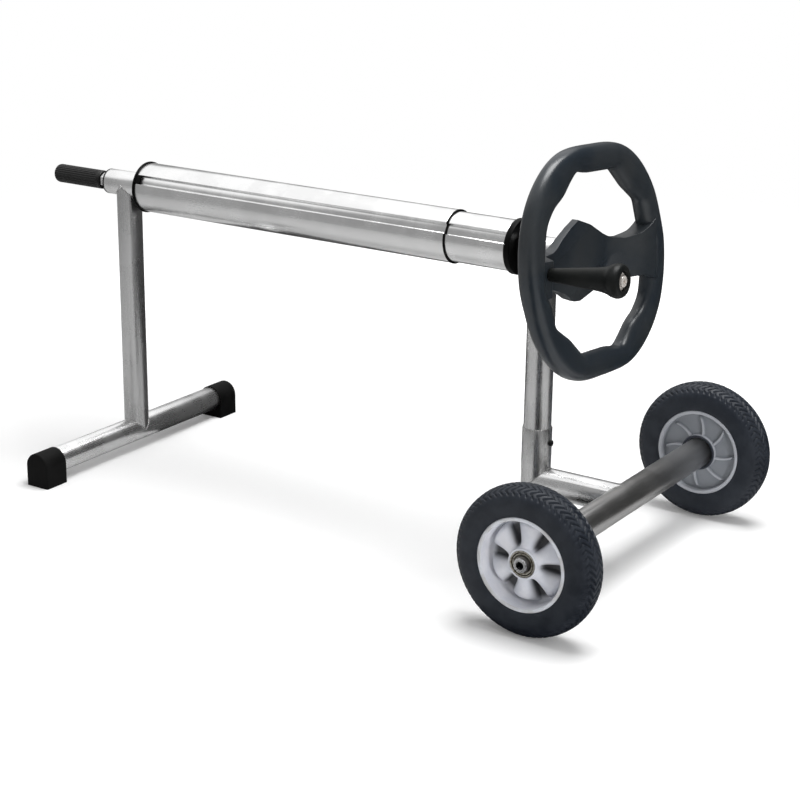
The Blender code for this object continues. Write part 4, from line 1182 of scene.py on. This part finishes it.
# %% [markdown]
# ## The handwheel
# One moulding: an oval rim of rounded section, two arms that drop from the rim to a thin hub plate,
# and a boss behind the plate for the shaft. The rim's section is a superellipse, wrapped round the
# shaft and fitted between an outer and an inner outline, which look the same after half a turn. The
# outer one is a circle with a few waves, and the inner one is drawn corner by corner.

# %% Shape the handwheel's rim
RIM_PLANE = POST.x + 0.078
RIM_THICKNESS = 0.029
OVAL_CENTRE = Vector((0, 0, AXIS.z - 0.0050))
OPENING_CENTRE = Vector((0, -0.001, AXIS.z - 0.0045))
RIM_MEAN_R = 0.1762
RIM_WAVES = [(2, 0.0236, 29.1), (4, 0.0068, 35.4), (6, 0.0013, -15.0), (8, 0.0004, 8.0)]
RIM_INNER_EDGE = [
    (0.150, 0.005), (0.1294, 0.0262), (0.1148, 0.0610), (0.0725, 0.0864), (0.0320, 0.1196),
    (-0.0458, 0.1259), (-0.0768, 0.1329), (-0.0905, 0.1222), (-0.108, 0.1035), (-0.132, 0.0935),
    (-0.149, 0.0745), (-0.151, 0.030),
]
SECTION_STEPS = 40
HANDWHEEL_STEPS = 288


def rim_outer(angle):
    return RIM_MEAN_R + sum(
        size * cos(waves * (angle + radians(shift))) for waves, size, shift in RIM_WAVES
    )


def ray_to_outline(angle, outline):
    """Distance from the centre to a closed outline in one direction."""
    ray = Vector((cos(angle), sin(angle)))
    reached = []
    for i, end in enumerate(outline):
        one, edge = Vector(outline[i - 1]), Vector(end) - Vector(outline[i - 1])
        across = ray.cross(edge)
        if abs(across) > 1e-12:
            distance, share = one.cross(edge) / across, one.cross(ray) / across
            if distance > 0 and -1e-9 <= share <= 1 + 1e-9:
                reached.append(distance)
    return min(reached)


def rim_inner(angle, outline, spread=radians(3.2)):
    """The inner edge with its corners rounded, as a mean over a few degrees."""
    turns = [spread * i / 4 for i in range(-4, 5)]
    return sum(ray_to_outline(angle + turn, outline) for turn in turns) / len(turns)


def superellipse(turn, power=2.5):
    """A point of the rim's section, from -1 to 1 in depth and across."""
    def squared(value):
        return abs(value) ** (2 / power) * (1 if value > 0 else -1)
    return squared(cos(turn)), squared(sin(turn))


def handwheel_rim():
    section = [superellipse(2 * pi * (i + 0.5) / SECTION_STEPS) for i in range(SECTION_STEPS)]
    bm = wrapped("X", [(depth, 2 + across) for depth, across in section], (0, 0, 0), HANDWHEEL_STEPS)
    outline = RIM_INNER_EDGE + [(-y, -z) for y, z in RIM_INNER_EDGE]
    edges = {}
    for vert in bm.verts:
        angle = atan2(vert.co.z, vert.co.y)
        step = round(angle * HANDWHEEL_STEPS / (2 * pi)) % HANDWHEEL_STEPS
        if step not in edges:
            edges[step] = rim_outer(angle), rim_inner(angle, outline)
        ray = Vector((0, cos(angle), sin(angle)))
        outer, inner = OVAL_CENTRE + ray * edges[step][0], OPENING_CENTRE + ray * edges[step][1]
        share = (hypot(vert.co.y, vert.co.z) - 1) / 2
        depth = RIM_PLANE + vert.co.x * RIM_THICKNESS / 2
        vert.co = inner.lerp(outer, share) + Vector((depth, 0, 0))
    return bm


print("corners of the opening:", 2 * len(RIM_INNER_EDGE))

# %% [markdown]
# ## Arms and hub plate
# The plate starts as a fine grid, whose points are drawn to the plate's upper and lower edge and
# back to its depth. Two bisecting planes add the folds from which the hub's corners slope back. On
# the right, the arm's end stands proud of the rim. The grid is extruded to its thickness and its
# edges are rounded.

# %% Shape the arms and join the handwheel
HUB_EDGES = [
    (-0.160, 0.0260, -0.0300), (-0.118, 0.0210, -0.0260), (-0.084, 0.0215, -0.0275),
    (-0.072, 0.0245, -0.0315), (-0.050, 0.0345, -0.0405), (-0.030, 0.0435, -0.0525),
    (-0.010, 0.0505, -0.0600),
    (0.012, 0.0420, -0.0645), (0.032, 0.0320, -0.0625), (0.050, 0.0230, -0.0600),
    (0.072, 0.0135, -0.0550), (0.092, 0.0110, -0.0450), (0.118, 0.0155, -0.0440),
    (0.1407, 0.0225, -0.0515), (0.160, 0.0300, -0.0584),
]
HUB_PLANE = POST.x + 0.054
ARM_PLANE = POST.x + 0.074
HUB_HALF_WIDTH = 0.050
ARM_REACH = 0.160
ARM_ROOT = 0.121
LEFT_RISE = 0.104
ARM_END = 0.1483
ARM_END_SLOPE = 0.148
PLATE_THICKNESS = 0.016
PLATE_EDGE = 0.0034
FOLD = ((0.011, 0.0381), (-0.042, 0.0201))
FOLD_SLOPE = 0.32
FOLD_END = (0.048, 0.092)
ARM_MARGIN = 0.0125
PROUD_FACE = POST.x + 0.0932
PROUD_START = 0.055
PROUD_END = 0.145


def hub_edges(y):
    """Top and bottom of the plate at a place across it, between the listed ones."""
    for one, two in zip(HUB_EDGES, HUB_EDGES[1:]):
        if one[0] <= y <= two[0]:
            share = (y - one[0]) / (two[0] - one[0])
            return [one[i] + (two[i] - one[i]) * share for i in (1, 2)]
    return HUB_EDGES[-1][1:]


def smooth_step(share):
    share = clamp(share)
    return share * share * (3 - 2 * share)


def plate_middle(y):
    """Depth of the arms: flat across the hub, then a smooth rise to the rim."""
    start = HUB_HALF_WIDTH if y > 0 else LEFT_RISE
    return HUB_PLANE + (ARM_PLANE - HUB_PLANE) * smooth_step((abs(y) - start) / (ARM_ROOT - start))


def fold_plane(half_turn):
    """A point on the fold, and the direction in which the plate slopes back from it."""
    one, two = (Vector((0, y, z)) * half_turn for y, z in FOLD)
    out = Vector((0, one.z - two.z, two.y - one.y)) * half_turn
    if out.z * half_turn < 0:
        out.negate()
    return one + AXIS, out.normalized()


def handwheel_arms():
    bm = bmesh.new()
    bmesh.ops.create_grid(bm, x_segments=128, y_segments=18, size=1.0)
    for vert in bm.verts:
        y = ARM_REACH * vert.co.x
        top, bottom = hub_edges(y)
        z = bottom + (vert.co.y + 1) / 2 * (top - bottom)
        if y > 0:
            y -= (ARM_REACH - ARM_END + ARM_END_SLOPE * z) * (y / ARM_REACH) ** 2
        place = Vector((plate_middle(y) + PLATE_THICKNESS / 2, y, AXIS.z + z))
        out = place - OVAL_CENTRE
        reach = rim_outer(atan2(out.z, out.y)) - ARM_MARGIN
        shrink = min(reach / max(hypot(out.y, out.z), 1e-6), 1.0)
        vert.co = OVAL_CENTRE + Vector((out.x, out.y * shrink, out.z * shrink))
    for half_turn in (1, -1):
        bisected(bm, *fold_plane(half_turn))
    back = extruded(bm, bm.faces[:], (-PLATE_THICKNESS, 0, 0))
    for vert in bm.verts:
        if vert in back:
            continue
        fading = 1 - smooth_step((abs(vert.co.y) - FOLD_END[0]) / (FOLD_END[1] - FOLD_END[0]))
        for half_turn in (1, -1):
            spot, out = fold_plane(half_turn)
            vert.co.x -= FOLD_SLOPE * fading * max((vert.co - spot).dot(out), 0.0)
        proud = smooth_step((vert.co.y - PROUD_START) / (PROUD_END - PROUD_START))
        vert.co.x += proud * (PROUD_FACE - ARM_PLANE - PLATE_THICKNESS / 2)
    bmesh.ops.recalc_face_normals(bm, faces=bm.faces)
    return soften(bm, PLATE_EDGE, 5, radians(55))


BOSS_START = POST.x + 0.0291
BOSS_R = 0.023
PLATE_BACK = HUB_PLANE - PLATE_THICKNESS / 2
BORE_DEPTH = 0.010
PIN_AT = middle("handwheel_pin")
KNOB_AT = Vector((POST.x + 0.082, -0.130, AXIS.z + 0.0055))
KNOB_LEAN = radians(4)
KNOB_TURN = Matrix.Translation(KNOB_AT) @ Matrix.Rotation(-KNOB_LEAN, 4, "Y")
KNOB_BOLT_R = 0.004


def build_handwheel():
    boss = soften(rod("X", BOSS_START, HUB_PLANE, BOSS_R, AXIS), 0.0008)
    bm = combined(combined(handwheel_rim(), handwheel_arms(), "UNION"), boss, "UNION")
    bm = combined(bm, rod("X", POST.x, PLATE_BACK + BORE_DEPTH, SHAFT_BORE, AXIS))
    bm = combined(bm, rod("Z", -2 * BOSS_R, 2 * BOSS_R, 0.003 + GAP, PIN_AT, 32))
    hole = rod("X", -2 * PLATE_THICKNESS, PLATE_THICKNESS, KNOB_BOLT_R + GAP, steps=48)
    hole.transform(KNOB_TURN)
    stand_in("handwheel", combined(bm, hole), "handwheel_plastic", 38)


build_handwheel()

# %% [markdown]
# ## The crank knob
# A tapered handle turns freely on a long bolt through the left arm. It is thin at its root, swells
# to a round end, and has a recess in which the bolt's bright head and its washer lie.

# %% Build the crank knob
KNOB_BASE = 0.000894
KNOB_LENGTH = 0.104
KNOB_RECESS_R = 0.013
KNOB_RECESS_DEPTH = 0.007
KNOB_WASHER_R = 0.01175
KNOB_WASHER_GAP = 0.0003
KNOB_WASHER_HEIGHT = 0.0016
KNOB_HEAD_R = 0.00725
KNOB_HEAD_HEIGHT = 0.005
KNOB_KEY = (0.0034, 0.003)
KNOB_SHANK_END = -PLATE_THICKNESS - 0.0085


def on_knob_axis(bm):
    bm.transform(KNOB_TURN)
    return bm


def build_knob():
    end = KNOB_BASE + KNOB_LENGTH
    seat = end - KNOB_RECESS_DEPTH
    bore = KNOB_BOLT_R + GAP
    outside = smooth_line(placed_at(KNOB_BASE, [
        (0.0006, 0.0085), (0.006, 0.0091), (0.025, 0.0109), (0.050, 0.0132), (0.070, 0.0151),
        (0.082, 0.0176), (0.089, 0.0207), (0.0945, 0.0219), (0.0980, 0.0217), (0.1015, 0.0203),
        (0.1033, 0.0183), (KNOB_LENGTH, 0.0160),
    ]), 6)
    profile = [
        (KNOB_BASE, bore), (KNOB_BASE, 0.0079), *outside, (end, KNOB_RECESS_R + 0.0007),
        (end - 0.0007, KNOB_RECESS_R), (seat, KNOB_RECESS_R), (seat, bore),
    ]
    stand_in("crank_knob", on_knob_axis(turned("X", profile)), "knob_plastic", 40)

    washer = seat + KNOB_WASHER_GAP
    ring = pipe("X", washer, washer + KNOB_WASHER_HEIGHT, KNOB_WASHER_R, bore, steps=64)
    stand_in("knob_washer", on_knob_axis(ring), "knob_bolt_plating")
    head = washer + KNOB_WASHER_HEIGHT + GAP
    stretches = [
        (KNOB_SHANK_END, head, KNOB_BOLT_R), (head, head + KNOB_HEAD_HEIGHT, KNOB_HEAD_R),
    ]
    bolt = socket_screw("X", stretches, *KNOB_KEY, (0, 0, 0), 0.0009)
    stand_in("knob_bolt", on_knob_axis(bolt), "knob_bolt_plating")


build_knob()

# %% [markdown]
# ## Finishes on the solids that stay
# Shafts, plugs, spacers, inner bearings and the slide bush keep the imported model's own shape, which
# is right for them. They only get their finish, so that the reel looks real when it is drawn out or
# seen from below.

# %% Dress the solids that stay
KEPT = {
    "left_shaft": "steel_painted_shade_by_axis_X", "right_shaft": "steel_painted_shade_by_axis_X", "slide_bush": "bush_nylon",
    "handwheel_pin": "bright_plated_steel", "knob_nut": "bright_plated_steel",
}
for name in SIDE_OF:
    KEPT[f"axle_plug_{name}"] = "bright_plated_steel"
    KEPT[f"{name}_bearing_spacer"] = "bright_plated_steel"
    KEPT[f"{name}_race_inner"] = "bright_plated_steel"
    KEPT[f"{name}_bearing_inner"] = f"{name}_bearing_shield"
for node, finish in KEPT.items():
    for place in frame["nodes"][node].material_slots:
        place.material = FINISHES[finish]
print("dressed:", ", ".join(sorted(KEPT)))

# %% [markdown]
# ## The studio
# A pale floor runs out into a white background. One wide softbox above gives the soft shadow, a
# small one brightens the wheels and the handwheel, and the sky fills in from all sides. Polished
# tubes show what stands round them, so the studio has grey walls that only reflections see, and
# in reflections the floor is grey, with dark sectors where the photograph's posts are dark.

# %% Light the studio
class Sky(Finish):
    """The world, painted with the same sums."""

    def __init__(self, name):
        world = bpy.data.worlds.new(name)
        bpy.context.scene.world = world
        world.use_nodes = True
        self.tree = world.node_tree
        self.shader = self.tree.nodes["Background"]


def paint_world():
    """White for the camera and for reflections, and the fill light for everything else."""
    sky = Sky("studio")
    seen = sky.ray("Camera")
    for kind in ("Glossy", "Transmission"):
        seen = seen.maths("MAXIMUM", seen, sky.ray(kind))
    sky.shade("Color", (1, 1, 1, 1))
    sky.shade("Strength", seen * (1 - FILL_LEVEL) + FILL_LEVEL)


def staged(name, bm, *hidden):
    """A part of the studio, hidden from the kinds of ray that are named."""
    item = placed(name, bm, name)
    for kind in hidden:
        setattr(item, f"visible_{kind}", False)


def backdrop(name, roughness):
    """A matt finish that can also glow."""
    constants = {"Roughness": roughness, "Specular IOR Level": 0.0, "Emission Strength": 1.0}
    finish = Finish(name, constants)
    FINISHES[name] = finish.material
    return finish


def softbox(name, place, aim, size, power):
    lamp = bpy.data.lights.new(name, "AREA")
    lamp.shape = "RECTANGLE"
    lamp.size, lamp.size_y = size
    lamp.energy = power
    item = linked(name, lamp)
    item.location = place
    item.rotation_euler = (Vector(aim) - Vector(place)).to_track_quat("-Z", "Y").to_euler()
    return item


def build_walls():
    """Grey walls, which only reflections see, darkest on the right behind the reel.

    They end at a slanted edge under the white sky, as the highlights on the tubes do.
    """
    walls = backdrop("studio_walls", 1.0)
    x, y, z = (part / WALL_R for part in walls.parts_of(walls.place(centre=(0, 0, 0.3))))
    edge = 0.53 - y * 0.2 + (x + 0.52) * 0.5
    dark = (x * 0.55 + y * 0.83).between(0.05, 0.70)
    walls.shade("Base Color", (0, 0, 0, 1))
    walls.shade("Emission Color", walls.mix(dark, grey(0.30), grey(0.07)))
    walls.shade("Alpha", 1 - (z - edge).between(-0.13, 0.02))
    bm = bmesh.new()
    bmesh.ops.create_uvsphere(bm, u_segments=96, v_segments=48, radius=WALL_R)
    staged("studio_walls", bm, "camera", "diffuse", "shadow", "transmission", "volume_scatter")


def sector(x, y, centre, start, end, near):
    """1 on the floor between two directions from a centre, past the near distance, and else 0."""
    x, y, start, end = x - centre.x, y - centre.y, radians(start), radians(end)
    away = radius_of(x, y)
    after = (y * cos(start) - x * sin(start)) / away
    before = (x * sin(end) - y * cos(end)) / away
    inside = after.between(0.0, SECTOR_EDGE) * before.between(0.0, SECTOR_EDGE)
    return inside * away.between(near, near * 1.2)


def build_floor():
    """White for the camera but for the shadow; reflections see it grey, and dark in some sectors."""
    ground = backdrop("studio_floor", 0.9)
    x, y, _ = ground.parts_of(ground.place())
    reflected = grey(FLOOR_IN_METAL)
    for centre, start, end, near, level in SECTORS:
        reflected = ground.mix(sector(x, y, centre, start, end, near), reflected, grey(level))
    far = radius_of(x, y)
    lift = ground.mix(far.between(0.55, 1.30), grey(FLOOR_LIFT), grey(FLOOR_LIFT_FAR))
    ground.shade("Base Color", ground.mix(ground.ray("Glossy"), grey(0.96), reflected))
    ground.shade("Emission Color", ground.mix(ground.ray("Camera"), grey(0), lift))
    ground.shade("Alpha", 1 - far.between(1.2, 2.4))
    bm = bmesh.new()
    bmesh.ops.create_grid(bm, x_segments=2, y_segments=2, size=3.0)
    staged("studio_floor", shifted(bm, (0, 0, -FLOOR_GAP)))


FILL_LEVEL = 0.39
WALL_R = 4.0
FLOOR_IN_METAL = 0.50
SECTOR_EDGE = 0.10
SECTORS = [
    (FOOT_POST, 26, 128, 0.05, 0.06), (POST, 28, 120, 0.40, 0.04), (POST, -84, -34, 0.06, 0.01),
]
FLOOR_LIFT = 0.08
FLOOR_LIFT_FAR = 0.60
FLOOR_GAP = 0.0002
bpy.context.scene.view_settings.view_transform = "Standard"
paint_world()
build_walls()
build_floor()
softbox("softbox_above", (0.5, 0.2, 2.6), (0.2, 0, 0), (1.5, 1.5), 62)
softbox("softbox_front", (2.1, -0.9, 0.55), (0.4, 0, 0.35), (0.4, 0.9), 12).visible_glossy = False
print("studio is lit")
